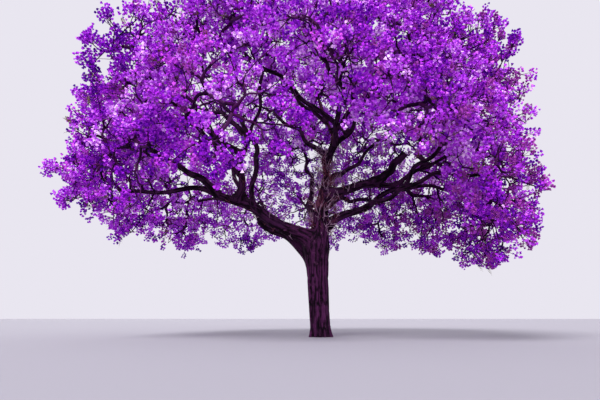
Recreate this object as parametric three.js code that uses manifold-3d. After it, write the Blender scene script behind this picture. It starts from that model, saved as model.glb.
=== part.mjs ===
// A jacaranda tree in full flower: a fluted trunk, crooked spreading boughs and masses of blossom.
// Millimetres, +Z up. The origin is the middle of the flat cut at ground level.
// Bearings are degrees about the trunk, seen from above: 0 is +X, 90 is +Y.
import * as THREE from "three";
import { mergeVertices } from "three/addons/utils/BufferGeometryUtils.js";
import Module from "manifold-3d";

const wasm = await Module();
wasm.setup();

const SEED = 20261;

// Trunk
const FORK_HEIGHT = 3850;
const TRUNK_RADIUS = 425;
const ROOT_FLARE = 110;
const ROOT_FLARE_HEIGHT = 280;
const FORK_SWELL = 70;
const TRUNK_LEAN = -50;
const TRUNK_SIDES = 24;
const TRUNK_RINGS = [0, 160, 380, 720, 1250, 1950, 2650, 3250, 3700];
const GROOVE = { bearing: 294, width: 13, depth: 0.2 };
// Near the ground this side stands in from the rest
const WAIST = { bearing: 185, most: 205, height: 1400 };
const FLUTES = [
  [3, 0.9, 0.05],
  [7, -0.4, 0.035],
];
const ROOTS = { count: 5, phase: 0.6, least: 0.2, most: 1.35 };
const FORK_CLOSING = 0.38;

// Crown: a broad dome round a hollow, held up by the boughs
const CROWN = {
  middle: new THREE.Vector3(-700, -400, 5400),
  spread: [8800, 8200],
  rise: 7800,
  hang: 2300,
  power: 3.1,
  hollow: 0.52,
};
// It droops lower on the right, between these two distances out
const DROOP = { from: 2500, to: 6500, hang: 1600, mass: 1200 };

// Boughs, each as one tapering limb: the limb it leaves and where along it, then the place of its
// tip, how far its middle is lifted and swung off a straight line, and its radius at either end.
const BOUGHS = [
  ["left_back", "trunk", 0.7, 152, 7000, 6200, 1000, -500, 210, 68],
  ["left", "trunk", 0.96, 188, 7800, 5550, 700, 300, 300, 80],
  ["back", "trunk", 0.92, 88, 6300, 6500, 900, 200, 220, 68],
  ["leader", "trunk", 0.93, 80, 700, 10500, 200, -520, 350, 68],
  ["right", "leader", 0.08, 358, 6500, 5600, 1000, 500, 190, 62],
  ["left_riser", "left", 0.42, 220, 2900, 10200, 0, 0, 165, 65],
  ["front_left", "left", 0.34, 248, 6700, 6800, 500, 200, 112, 60],
  ["left_front", "left", 0.52, 217, 7500, 6000, 500, -300, 150, 65],
  ["left_arm", "left_riser", 0.22, 192, 6300, 8700, 400, 0, 135, 65],
  ["left_high", "left_riser", 0.5, 172, 5200, 9900, 300, 300, 120, 62],
  ["right_high", "leader", 0.28, 350, 6150, 7400, -180, 300, 220, 65],
  ["front_riser", "leader", 0.52, 309, 5600, 9500, 300, -300, 150, 62],
  ["arching", "front_riser", 0.28, 231, 5200, 10000, 500, -300, 105, 63],
  ["front", "front_riser", 0.14, 270, 6300, 8300, 500, 300, 112, 60],
  ["front_right", "front_riser", 0.5, 296, 6500, 7600, 200, -200, 120, 62],
  ["right_front", "right", 0.3, 328, 6900, 5500, 300, -300, 115, 60],
  ["right_back", "right_high", 0.3, 25, 6700, 6100, 300, 300, 140, 65],
  ["back_right", "back", 0.3, 57, 6500, 6600, 500, -300, 140, 65],
  ["back_left", "left_back", 0.4, 120, 6500, 6500, 500, -300, 140, 65],
  ["left_back_high", "left_back", 0.5, 152, 5600, 9000, 100, 300, 130, 65],
  ["back_high", "back", 0.45, 96, 5000, 9500, 100, -200, 135, 65],
  ["back_right_high", "leader", 0.36, 50, 5000, 9500, -300, 300, 160, 65],
  ["right_arm", "right_high", 0.72, 14, 5300, 9600, 100, 300, 120, 65],
  ["back_left_high", "leader", 0.55, 128, 3300, 10700, -100, 200, 130, 62],
  ["right_riser", "leader", 0.7, 352, 2900, 11100, 0, 300, 120, 62],
  ["front_top", "front_riser", 0.4, 274, 3300, 11000, 200, 300, 110, 62],
  ["left_top", "leader", 0.78, 196, 2000, 11400, 0, -300, 100, 60],
  ["left_shoulder", "left_riser", 0.36, 214, 7500, 8500, 300, -300, 125, 62],
  ["right_shoulder", "right", 0.55, 328, 7000, 8700, -300, -300, 100, 60],
];
const BOUGH_SIDES = 8;
const SLIM_SIDES = 6;
const SLIM = 180;
const BOUGH_STEP = 1050;
const TAPER_POWER = 0.8;
const CROOKED = 0.028;
const WAVES = [
  [2.6, 1, 1],
  [6.1, 2.1, 0.5],
];
const PHASE_STEP = 1.7;
const COLLAR = { swell: 0.3, reach: 1.6 };
// Beyond each limb that leaves it, a limb is slimmer, by this share of what the other takes
const FORK = { loss: 0.35, step: 0.08 };

// The sawn-off stub on the right, left by pruning
const STUB = ["right_stub", "right_high", 0.36, 349, 3650, 7250, -50, 0, 170, 145];

// Masses of blossom
const MASS_OUT = 1250;
const MASS_RADIUS = 2850;
const STEM = { straight: 0.35, reach: 0.5, thick: 1.15, thin: 0.7 };
const SPRAYS = 13;
const TRIES = 14;
const MOST_TRIES = 170;
const OUTERMOST = 0.96;
const FORKS = 5;
const FORK_SHARE = 0.46;
const SPREAD_ALONG = 0.9;
const PIPE_POWER = 0.42;
const TWIG_TAPER = 0.6;
const SPRAY = { beyond: 540, width: 1200, depth: 640, sizes: [1, 0.8, 0.6] };
const SPRAY_ROOM = 350;
const CLEAR = 5;
const SEAT = 0.3;

// The spacings at which a solid's points are rounded, and still have to close
const GRIDS = [1e-3, 1e-4];

const BARK = new THREE.MeshStandardMaterial({ color: 0x4b3038, roughness: 0.95, metalness: 0 });
const BLOSSOM_TINTS = [0x6a1fc0, 0x7d2bd6, 0x8f41e4, 0x5a18a8, 0x9a55ea];

// A seeded stream of numbers from 0 to 1
function stream(seed) {
  let state = seed >>> 0;
  return () => {
    state = (state + 0x6d2b79f5) >>> 0;
    let t = Math.imul(state ^ (state >>> 15), state | 1);
    t = (t + Math.imul(t ^ (t >>> 7), t | 61)) ^ t;
    return ((t ^ (t >>> 14)) >>> 0) / 4294967296;
  };
}

function solidFrom(points, faces) {
  const geometry = new THREE.BufferGeometry();
  geometry.setAttribute("position", new THREE.Float32BufferAttribute(points.flat(), 3));
  geometry.setIndex(faces.flat());
  const merged = mergeVertices(geometry, 1e-3);
  return new wasm.Manifold(
    new wasm.Mesh({
      numProp: 3,
      vertProperties: merged.attributes.position.array,
      triVerts: new Uint32Array(merged.index.array),
    }),
  );
}

// Rings of points, all with as many sides, skinned into a closed solid with flat ends. A round
// end is a fan about its middle, and a three-sided one is a single face.
function skin(rings) {
  const sides = rings[0].length;
  const points = rings.flat().map((p) => p.toArray());
  const faces = [];
  for (let ring = 0; ring + 1 < rings.length; ring++) {
    for (let i = 0; i < sides; i++) {
      const a = ring * sides + i;
      const b = ring * sides + ((i + 1) % sides);
      faces.push([a, b, b + sides], [a, b + sides, a + sides]);
    }
  }
  for (const [ring, turned] of [[0, true], [rings.length - 1, false]]) {
    const first = ring * sides;
    if (sides === 3) {
      faces.push(turned ? [first + 1, first, first + 2] : [first, first + 1, first + 2]);
      continue;
    }
    points.push(middleOf(rings[ring]).toArray());
    for (let i = 0; i < sides; i++) {
      const [a, b] = [first + i, first + ((i + 1) % sides)];
      faces.push(turned ? [b, a, points.length - 1] : [a, b, points.length - 1]);
    }
  }
  return solidFrom(points, faces);
}

function middleOf(points) {
  return points.reduce((sum, p) => sum.addScaledVector(p, 1 / points.length), new THREE.Vector3());
}

function onBearing(bearing, reach, height) {
  const turn = THREE.MathUtils.degToRad(bearing);
  return new THREE.Vector3(reach * Math.cos(turn), reach * Math.sin(turn), height);
}

// The limb's centreline: a curve through its lifted and swung middle, made crooked by two waves
class LimbCurve extends THREE.Curve {
  constructor(start, tip, lift, swing, phase) {
    super();
    const chord = tip.clone().sub(start);
    this.start = start;
    this.tip = tip;
    this.length = chord.length();
    this.across = new THREE.Vector3(-chord.y, chord.x, 0).normalize();
    this.upward = chord.clone().cross(this.across).normalize();
    if (this.upward.z < 0) this.upward.negate();
    this.bend = start.clone().add(tip).multiplyScalar(0.5);
    this.bend.z += 2 * lift;
    this.bend.addScaledVector(this.across, 2 * swing);
    this.phase = phase;
  }

  wave(t, phase) {
    const waves = WAVES.map(([turns, shift, size]) => size * Math.sin(turns * Math.PI * t + shift * phase));
    return CROOKED * this.length * Math.sin(Math.PI * t) * waves.reduce((a, b) => a + b);
  }

  getPoint(t) {
    return this.start
      .clone()
      .multiplyScalar((1 - t) ** 2)
      .addScaledVector(this.bend, 2 * t * (1 - t))
      .addScaledVector(this.tip, t * t)
      .addScaledVector(this.across, this.wave(t, this.phase))
      .addScaledVector(this.upward, this.wave(t, this.phase + 2));
  }

  heading(t) {
    const h = 0.01;
    return this.getPoint(Math.min(1, t + h)).sub(this.getPoint(Math.max(0, t - h))).normalize();
  }
}

// Two directions square to a heading
function squareTo(heading) {
  const aside = Math.abs(heading.z) > 0.9 ? new THREE.Vector3(1, 0, 0) : new THREE.Vector3(0, 0, 1);
  const u = aside.cross(heading).normalize();
  return [u, heading.clone().cross(u)];
}

// A limb tapers from its base, and swells into a collar where it leaves what carries it
function limbRadius(limb, t) {
  const taper = (s) => limb.base + (limb.end - limb.base) * s ** TAPER_POWER;
  let radius = taper(t);
  for (const [at, base] of limb.forks) {
    const taken = Math.min(1, base / taper(at)) ** 2;
    radius *= Math.sqrt(1 - FORK.loss * taken * THREE.MathUtils.smoothstep(t, at, at + FORK.step));
  }
  const collar = COLLAR.swell * Math.exp((-t * limb.curve.length) / (COLLAR.reach * limb.base));
  return Math.max(radius, limb.end) * (1 + collar);
}

// A limb's solid, thicker by grow all over
function limbSolid(limb, grow = 0) {
  const steps = Math.max(3, Math.round(limb.curve.length / BOUGH_STEP));
  const sides = limb.base < SLIM ? SLIM_SIDES : BOUGH_SIDES;
  const rings = [];
  let [u] = squareTo(limb.curve.heading(0));
  for (let i = 0; i <= steps; i++) {
    const t = i / steps;
    const heading = limb.curve.heading(t);
    u = u.clone().addScaledVector(heading, -u.dot(heading)).normalize();
    const v = heading.clone().cross(u);
    const at = limb.curve.getPoint(t);
    if (i === 0) at.addScaledVector(heading, -grow);
    if (i === steps) at.addScaledVector(heading, grow);
    const radius = limbRadius(limb, t) + grow;
    rings.push(
      Array.from({ length: sides }, (_, k) => {
        const turn = (2 * Math.PI * k) / sides;
        return at
          .clone()
          .addScaledVector(u, radius * Math.cos(turn))
          .addScaledVector(v, radius * Math.sin(turn));
      }),
    );
  }
  return skin(rings);
}

function trunkRadius(height, bearing) {
  const low = Math.exp(-height / ROOT_FLARE_HEIGHT);
  const high = THREE.MathUtils.smoothstep(height, 0.6 * FORK_HEIGHT, FORK_HEIGHT);
  const turn = THREE.MathUtils.degToRad(bearing);
  const between = 0.5 + 0.5 * Math.cos(ROOTS.count * turn + ROOTS.phase);
  const roots = THREE.MathUtils.lerp(ROOTS.least, ROOTS.most, between);
  const flutes = FLUTES.map(([count, phase, depth]) => depth * Math.cos(count * turn + phase));
  const off = ((bearing - GROOVE.bearing + 540) % 360) - 180;
  const groove = GROOVE.depth * Math.exp(-((off / GROOVE.width) ** 2));
  const swell = 1 + flutes.reduce((a, b) => a + b) - groove;
  const facing = Math.max(0, Math.cos(THREE.MathUtils.degToRad(bearing - WAIST.bearing)));
  const waist = WAIST.most * Math.exp(-height / WAIST.height) * facing;
  return (TRUNK_RADIUS + FORK_SWELL * high) * swell + ROOT_FLARE * low * roots - waist;
}

// The trunk's solid, thicker by grow all over. Its top closes in between the boughs of the fork.
function trunkSolid(grow = 0) {
  const rings = TRUNK_RINGS.map((height) => {
    const lean = TRUNK_LEAN * (height / FORK_HEIGHT);
    return Array.from({ length: TRUNK_SIDES }, (_, k) => {
      const bearing = (360 * k) / TRUNK_SIDES;
      const p = onBearing(bearing, trunkRadius(height, bearing) + grow, height);
      return p.add(new THREE.Vector3(lean, 0, 0));
    });
  });
  const crown = rings.at(-1).map((p) => {
    const q = p.clone().lerp(new THREE.Vector3(TRUNK_LEAN, 0, p.z), FORK_CLOSING);
    q.z = FORK_HEIGHT + grow;
    return q;
  });
  rings.push(crown);
  return skin(rings);
}

// The largest piece of a solid, as its 32-bit mesh holds it, with loose scraps dropped
function largest(solid) {
  const piece = solid.decompose().reduce((a, b) => (b.volume() > a.volume() ? b : a));
  const rounded = solidFrom(...meshArrays(piece));
  return rounded.decompose().length > 1 ? largest(rounded) : rounded;
}

// Whether just two faces share each edge, once points that round together are one
function closes(solid, grid) {
  const [points, corners] = meshArrays(solid);
  const keys = points.map((p) => p.map((x) => Math.round(x / grid)).join());
  const shared = new Map();
  for (let i = 0; i < corners.length; i++) {
    const next = i % 3 === 2 ? i - 2 : i + 1;
    const edge = [keys[corners[i]], keys[corners[next]]].sort().join(" ");
    shared.set(edge, (shared.get(edge) ?? 0) + 1);
  }
  return [...shared.values()].every((count) => count === 2);
}

// A solid's points and its triangles' corners
function meshArrays(solid) {
  const { numProp, numVert, vertProperties, triVerts } = solid.getMesh();
  const points = [];
  for (let i = 0; i < numVert; i++) {
    points.push(Array.from(vertProperties.subarray(i * numProp, i * numProp + 3)));
  }
  return [points, Array.from(triVerts)];
}

function boxesMeet(a, b) {
  const [p, q] = [a.boundingBox(), b.boundingBox()];
  return [0, 1, 2].every((k) => p.min[k] <= q.max[k] && q.min[k] <= p.max[k]);
}

// How far out in the crown a point lies: 1 is its outer surface
function crownShare(p, hollow = false) {
  const { middle, spread, rise, power } = CROWN;
  const hang = CROWN.hang + DROOP.hang * THREE.MathUtils.smoothstep(p.x, DROOP.from, DROOP.to);
  const drop = p.z - middle.z;
  const tall = drop > 0 ? drop / rise : hollow ? 0 : -drop / hang;
  return (
    (Math.abs((p.x - middle.x) / spread[0]) ** power +
      Math.abs((p.y - middle.y) / spread[1]) ** power +
      tall ** power) **
    (1 / power)
  );
}

// The limbs, in the order that they grow: each is cut by those before it
const trunkCurve = new THREE.LineCurve3(
  new THREE.Vector3(0, 0, 0),
  new THREE.Vector3(TRUNK_LEAN, 0, FORK_HEIGHT),
);
const limbs = new Map([["trunk", { curve: trunkCurve, forks: [] }]]);
[...BOUGHS, STUB].forEach(([name, parent, at, bearing, reach, height, lift, swing, base, end], k) => {
  const carrier = limbs.get(parent);
  const tip = onBearing(bearing, reach, height);
  const curve = new LimbCurve(carrier.curve.getPoint(at), tip, lift, swing, PHASE_STEP * k);
  carrier.forks.push([at, base]);
  limbs.set(name, { name, curve, base, end, forks: [] });
});
const wood = [{ name: "trunk", solid: trunkSolid(), grown: trunkSolid(SEAT) }];
for (const limb of [...limbs.values()].slice(1)) {
  let solid = limbSolid(limb);
  for (const before of wood) {
    if (boxesMeet(solid, before.grown)) solid = solid.subtract(before.grown);
  }
  wood.push({ name: limb.name, solid: largest(solid), grown: limbSolid(limb, SEAT) });
}

// Each mass keeps to the space that is nearer its middle than any other's
const hub = new THREE.Vector3(0, 0, FORK_HEIGHT);
const masses = BOUGHS.map(([name]) => {
  const { curve, end } = limbs.get(name);
  const tip = curve.getPoint(1);
  const middle = tip.clone().addScaledVector(tip.clone().sub(hub).normalize(), MASS_OUT);
  middle.z -= DROOP.mass * THREE.MathUtils.smoothstep(tip.x, DROOP.from, DROOP.to);
  return { name, tip, end, heading: curve.heading(1), middle };
});

function inSpace(p, mass, margin) {
  if (crownShare(p) > 1 || p.distanceTo(mass.middle) > MASS_RADIUS) return false;
  return masses.every((other) => {
    if (other === mass) return true;
    const apart = other.middle.distanceTo(mass.middle);
    const past = p.distanceToSquared(other.middle) - p.distanceToSquared(mass.middle);
    return past / (2 * apart) > margin;
  });
}

// The places of a mass's sprays, each the loneliest of a few tries
function sprayPlaces(mass, random) {
  const places = [];
  for (let n = 0; n < SPRAYS; n++) {
    let best = null;
    let loneliest = -1;
    for (let k = 0; k < MOST_TRIES && (k < TRIES || !best); k++) {
      const p = new THREE.Vector3(random() - 0.5, random() - 0.5, random() - 0.5)
        .multiplyScalar(2 * MASS_RADIUS)
        .add(mass.middle);
      if (crownShare(p) > OUTERMOST || crownShare(p, true) < CROWN.hollow) continue;
      if (!inSpace(p, mass, SPRAY_ROOM)) continue;
      const lonely = Math.min(p.distanceTo(mass.tip), ...places.map((q) => p.distanceTo(q)));
      if (lonely > loneliest) [best, loneliest] = [p, lonely];
    }
    if (best) places.push(best);
  }
  return places;
}

// Parts the places among a few branches, by nearness
function parted(places, most) {
  const count = Math.min(places.length, most);
  const far = (from) => places.reduce((a, b) => (from(b) > from(a) ? b : a));
  const middle = middleOf(places);
  let heads = [far((p) => p.distanceTo(middle))];
  while (heads.length < count) {
    heads.push(far((p) => Math.min(...heads.map((h) => p.distanceTo(h)))));
  }
  let groups;
  for (let turn = 0; turn < 3; turn++) {
    groups = heads.map(() => []);
    for (const p of places) {
      const nearest = heads.reduce((a, h, i) => (p.distanceTo(h) < p.distanceTo(heads[a]) ? i : a), 0);
      groups[nearest].push(p);
    }
    groups = groups.filter((g) => g.length);
    heads = groups.map(middleOf);
  }
  return groups;
}

// A three-sided twig along its points, tapering from end to end
function twigSolid(path, thick, thin) {
  const rings = path.map((at, i) => {
    const before = path[Math.max(0, i - 1)];
    const after = path[Math.min(path.length - 1, i + 1)];
    const [u, v] = squareTo(after.clone().sub(before).normalize());
    const radius = thick + ((thin - thick) * i) / (path.length - 1);
    return [0, 1, 2].map((k) => {
      const turn = (2 * Math.PI * k) / 3;
      return at
        .clone()
        .addScaledVector(u, radius * Math.cos(turn))
        .addScaledVector(v, radius * Math.sin(turn));
    });
  });
  return skin(rings);
}

// A spray of blossom: it widens from its root to its place and closes beyond it
function spraySolid(root, place, roll, size) {
  const heading = place.clone().sub(root).normalize();
  const tip = place.clone().addScaledVector(heading, size * SPRAY.beyond);
  const [a, b] = squareTo(heading);
  const u = a.clone().multiplyScalar(Math.cos(roll)).addScaledVector(b, Math.sin(roll));
  const v = heading.clone().cross(u);
  const sides = [[u, SPRAY.width], [v, SPRAY.depth], [u, -SPRAY.width], [v, -SPRAY.depth]];
  const ring = sides.map(([way, wide]) => place.clone().addScaledVector(way, (size * wide) / 2));
  const points = [root, ...ring, tip];
  const faces = [];
  for (let i = 1; i <= 4; i++) {
    const next = (i % 4) + 1;
    faces.push([0, next, i], [5, i, next]);
  }
  return { solid: solidFrom(points.map((p) => p.toArray()), faces), points };
}

function touchesWood(solid) {
  return wood.some((w) => boxesMeet(solid, w.grown) && solid.intersect(w.grown).volume() > 0);
}

// A mass: one stem from the bough's tip, twigs that part from it again and again, and a spray at
// the end of each. What grows from a twig leaves it at its own height, rooted at the twig's middle.
function massSolid(mass, random) {
  const places = sprayPlaces(mass, random);
  const thickness = (count) => mass.end * (count / places.length) ** PIPE_POWER;
  const start = mass.tip.clone().addScaledVector(mass.heading, SEAT);
  const reach = middleOf(places).distanceTo(start);
  const elbow = start.clone().addScaledVector(mass.heading, STEM.straight * reach);
  const top = elbow.clone().lerp(middleOf(places), STEM.reach);
  let whole = twigSolid([start, elbow, top], STEM.thick * mass.end, STEM.thin * mass.end);

  function growFrom(foot, head, groups) {
    groups.forEach((group, i) => {
      const from = head.clone().lerp(foot, (i / groups.length) * SPREAD_ALONG);
      if (group.length === 1) {
        const roll = Math.PI * random();
        for (const size of SPRAY.sizes) {
          const { solid, points } = spraySolid(from, group[0], roll, size);
          if (points.slice(1).every((p) => inSpace(p, mass, CLEAR)) && !touchesWood(solid)) {
            whole = whole.add(solid);
            return;
          }
        }
        return;
      }
      const fork = from.clone().lerp(middleOf(group), FORK_SHARE);
      const thick = thickness(group.length);
      const twig = twigSolid([from, fork], thick, TWIG_TAPER * thick);
      if (touchesWood(twig)) return;
      whole = whole.add(twig);
      growFrom(from, fork, parted(group, FORKS));
    });
  }

  growFrom(elbow, top, parted(places, FORKS));
  return largest(whole);
}

function meshOf(name, solid, material) {
  const [points, corners] = meshArrays(solid);
  const geometry = new THREE.BufferGeometry();
  geometry.setAttribute("position", new THREE.Float32BufferAttribute(points.flat(), 3));
  geometry.setIndex(corners);
  geometry.computeVertexNormals();
  const mesh = new THREE.Mesh(geometry, material);
  mesh.name = name;
  return mesh;
}

const tree = new THREE.Group();
for (const { name, solid } of wood) {
  const plain = name === "trunk" || name === "leader" || name === "right_stub";
  tree.add(meshOf(plain ? name : `${name}_bough`, solid, BARK));
}
masses.forEach((mass, k) => {
  let seed = SEED + 97 * k;
  let solid = massSolid(mass, stream(seed));
  while (!GRIDS.every((grid) => closes(solid, grid))) solid = massSolid(mass, stream(++seed));
  const tint = new THREE.MeshStandardMaterial({
    color: BLOSSOM_TINTS[k % BLOSSOM_TINTS.length],
    roughness: 0.75,
    metalness: 0,
  });
  tree.add(meshOf(`${mass.name}_blossom`, solid, tint));
});

export default tree;
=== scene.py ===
"""A jacaranda tree in full flower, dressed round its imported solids.

Metres, +Z up. The origin is the middle of the flat cut at ground level. Bearings are degrees about
the trunk, seen from above: 0 is +X and 90 is +Y. The limbs follow the same curves as the solids.
"""

import functools
import itertools
import logging
import math
from dataclasses import dataclass, field
from enum import Enum, IntEnum

import bpy
import numpy as np
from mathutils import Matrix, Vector


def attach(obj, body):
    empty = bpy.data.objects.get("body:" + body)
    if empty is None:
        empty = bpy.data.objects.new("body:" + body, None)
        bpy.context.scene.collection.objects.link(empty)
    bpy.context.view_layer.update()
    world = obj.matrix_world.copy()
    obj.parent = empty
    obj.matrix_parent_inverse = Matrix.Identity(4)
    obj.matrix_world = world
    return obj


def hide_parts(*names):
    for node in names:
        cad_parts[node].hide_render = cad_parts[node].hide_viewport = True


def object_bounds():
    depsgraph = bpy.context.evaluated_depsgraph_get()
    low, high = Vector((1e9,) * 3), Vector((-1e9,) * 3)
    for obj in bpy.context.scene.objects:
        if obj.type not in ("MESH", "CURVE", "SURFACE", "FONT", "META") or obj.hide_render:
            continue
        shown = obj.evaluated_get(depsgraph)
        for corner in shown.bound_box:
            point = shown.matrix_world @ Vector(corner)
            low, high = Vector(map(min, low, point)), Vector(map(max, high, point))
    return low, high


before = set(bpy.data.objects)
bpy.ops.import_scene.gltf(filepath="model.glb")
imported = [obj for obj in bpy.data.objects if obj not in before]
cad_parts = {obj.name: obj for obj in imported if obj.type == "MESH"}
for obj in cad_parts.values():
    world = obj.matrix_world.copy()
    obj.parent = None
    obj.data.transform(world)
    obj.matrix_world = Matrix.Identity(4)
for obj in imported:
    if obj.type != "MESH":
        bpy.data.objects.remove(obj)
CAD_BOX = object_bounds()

Array = np.ndarray
LOG = logging.getLogger("jacaranda")

BODY = "root"
UP = np.array([0.0, 0.0, 1.0])
TINY = 1e-9
STEEP = 0.9
FULL_TURN = 2 * math.pi
GOLDEN_ANGLE = math.pi * (3 - math.sqrt(5))
NOISE_CELLS = 48
SEEDS_A_LIMB = 3

# Each limb: the limb that it leaves and where along it, then the bearing, reach and height of its
# tip, how far its middle is lifted and swung off a straight line, and its radius at either end.
BOUGHS = (
    ("left_back", "trunk", 0.7, 152, 7.0, 6.2, 1.0, -0.5, 0.21, 0.068),
    ("left", "trunk", 0.96, 188, 7.8, 5.55, 0.7, 0.3, 0.3, 0.08),
    ("back", "trunk", 0.92, 88, 6.3, 6.5, 0.9, 0.2, 0.22, 0.068),
    ("leader", "trunk", 0.93, 80, 0.7, 10.5, 0.2, -0.52, 0.35, 0.068),
    ("right", "leader", 0.08, 358, 6.5, 5.6, 1.0, 0.5, 0.19, 0.062),
    ("left_riser", "left", 0.42, 220, 2.9, 10.2, 0.0, 0.0, 0.165, 0.065),
    ("front_left", "left", 0.34, 248, 6.7, 6.8, 0.5, 0.2, 0.112, 0.06),
    ("left_front", "left", 0.52, 217, 7.5, 6.0, 0.5, -0.3, 0.15, 0.065),
    ("left_arm", "left_riser", 0.22, 192, 6.3, 8.7, 0.4, 0.0, 0.135, 0.065),
    ("left_high", "left_riser", 0.5, 172, 5.2, 9.9, 0.3, 0.3, 0.12, 0.062),
    ("right_high", "leader", 0.28, 350, 6.15, 7.4, -0.18, 0.3, 0.22, 0.065),
    ("front_riser", "leader", 0.52, 309, 5.6, 9.5, 0.3, -0.3, 0.15, 0.062),
    ("arching", "front_riser", 0.28, 231, 5.2, 10.0, 0.5, -0.3, 0.105, 0.063),
    ("front", "front_riser", 0.14, 270, 6.3, 8.3, 0.5, 0.3, 0.112, 0.06),
    ("front_right", "front_riser", 0.5, 296, 6.5, 7.6, 0.2, -0.2, 0.12, 0.062),
    ("right_front", "right", 0.3, 328, 6.9, 5.5, 0.3, -0.3, 0.115, 0.06),
    ("right_back", "right_high", 0.3, 25, 6.7, 6.1, 0.3, 0.3, 0.14, 0.065),
    ("back_right", "back", 0.3, 57, 6.5, 6.6, 0.5, -0.3, 0.14, 0.065),
    ("back_left", "left_back", 0.4, 120, 6.5, 6.5, 0.5, -0.3, 0.14, 0.065),
    ("left_back_high", "left_back", 0.5, 152, 5.6, 9.0, 0.1, 0.3, 0.13, 0.065),
    ("back_high", "back", 0.45, 96, 5.0, 9.5, 0.1, -0.2, 0.135, 0.065),
    ("back_right_high", "leader", 0.36, 50, 5.0, 9.5, -0.3, 0.3, 0.16, 0.065),
    ("right_arm", "right_high", 0.72, 14, 5.3, 9.6, 0.1, 0.3, 0.12, 0.065),
    ("back_left_high", "leader", 0.55, 128, 3.3, 10.7, -0.1, 0.2, 0.13, 0.062),
    ("right_riser", "leader", 0.7, 352, 2.9, 11.1, 0.0, 0.3, 0.12, 0.062),
    ("front_top", "front_riser", 0.4, 274, 3.3, 11.0, 0.2, 0.3, 0.11, 0.062),
    ("left_top", "leader", 0.78, 196, 2.0, 11.4, 0.0, -0.3, 0.1, 0.06),
    ("left_shoulder", "left_riser", 0.36, 214, 7.5, 8.5, 0.3, -0.3, 0.125, 0.062),
    ("right_shoulder", "right", 0.55, 328, 7.0, 8.7, -0.3, -0.3, 0.1, 0.06),
)
STUB = ("right_stub", "right_high", 0.36, 349, 3.65, 7.25, -0.05, 0.0, 0.17, 0.145)
PHASE_STEP = 1.7


class Region(Enum):
    """Parts of the crown, each with the boughs whose blossom it holds."""

    LEFT = ("left", "left_front", "left_arm", "left_back")
    LEFT_TOP = ("left_high", "left_back_high", "left_riser", "left_top")
    FRONT_LEFT = ("front_left", "arching", "left_shoulder")
    FRONT = ("front", "front_top", "front_right", "front_riser")
    TOP = ("leader", "back_left_high", "right_riser")
    RIGHT = ("right", "right_front", "right_back")
    RIGHT_TOP = ("right_high", "right_arm", "back_right_high", "right_shoulder")
    BACK = ("back", "back_left", "back_right", "back_high")


class Seed(IntEnum):
    """What the random draws and the noises start from."""

    TRUNK = 20261
    TUFTS = 20261
    TWIGS = 20262
    PANICLES = 20263
    LOBES = 20264
    BLOSSOM = 20265
    LEAVES = 20266
    PODS = 20267
    DRIFTS = 20268
    SWEEPS = 20269
    SHOOTS = 20269
    PINKS = 20270
    FEET = 20271
    LEAF_PATCHES = 20272
    CLUMPS = 20282
    LIMBS = 20291
    BAYS = 20300


# Arithmetic on points and directions


def unit(v: Array) -> Array:
    """Vectors scaled to length 1 along the last axis."""
    return v / np.maximum(np.linalg.norm(v, axis=-1, keepdims=True), TINY)


def smoothstep(x: Array, low: float, high: float) -> Array:
    """A smooth rise from 0 at low to 1 at high."""
    s = np.clip((x - low) / (high - low), 0, 1)
    return s * s * (3 - 2 * s)


def on_bearing(bearing: float, reach: float, height: float) -> Array:
    """The point at this bearing, reach and height about the trunk."""
    turn = math.radians(bearing)
    return np.array([reach * math.cos(turn), reach * math.sin(turn), height])


def either_way(degrees: Array) -> Array:
    """Turns in degrees, brought between half a turn back and half a turn on."""
    return (degrees + 540) % 360 - 180


def square_to(heading: Array) -> tuple[Array, Array]:
    """Two directions square to each heading and to each other.

    Args:
        heading: Unit vectors, along the last axis.

    Returns:
        The two directions, of the same shape.
    """
    steep = np.abs(heading[..., 2:]) > STEEP
    aside = np.where(steep, np.array([1.0, 0, 0]), UP)
    u = unit(np.cross(aside, heading))
    return u, np.cross(heading, u)


def spokes(u: Array, v: Array, turn: Array) -> Array:
    """Directions round an axis.

    Args:
        u: A direction square to each axis.
        v: The other direction square to it.
        turn: The angles from u towards v, with one more axis than u where there are several.

    Returns:
        A direction for each angle.
    """
    if turn.ndim == u.ndim:
        u, v = u[..., None, :], v[..., None, :]
    return u * np.cos(turn)[..., None] + v * np.sin(turn)[..., None]


def circle(sides: int) -> Array:
    """So many even turns about an axis, in radians."""
    return FULL_TURN * np.arange(sides) / sides


@functools.lru_cache(maxsize=None)
def lattice(seed: int) -> Array:
    """The seeded numbers at the corners of a noise's cells."""
    return np.random.default_rng(seed).random((NOISE_CELLS,) * 3)


def noise(p: Array, seed: int) -> Array:
    """Smooth seeded noise.

    Args:
        p: Points, in cells of the noise.
        seed: Which noise it is.

    Returns:
        A number from 0 to 1 for each point.
    """
    values = lattice(seed)
    cell = np.floor(p).astype(int)
    f = p - cell
    f = f * f * (3 - 2 * f)
    total = np.zeros(p.shape[:-1])
    for corner in itertools.product((0, 1), repeat=3):
        i, j, k = np.moveaxis((cell + corner) % NOISE_CELLS, -1, 0)
        weight = np.prod(np.where(corner, f, 1 - f), axis=-1)
        total += weight * values[i, j, k]
    return total


# Finishes


def linear(colour: int) -> tuple[float, float, float, float]:
    """A hex colour as linear red, green, blue and alpha, by the curve of the sRGB standard."""
    channels = [(colour >> shift & 255) / 255 for shift in (16, 8, 0)]
    return (*(((c + 0.055) / 1.055) ** 2.4 if c > 0.04045 else c / 12.92 for c in channels), 1.0)


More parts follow.
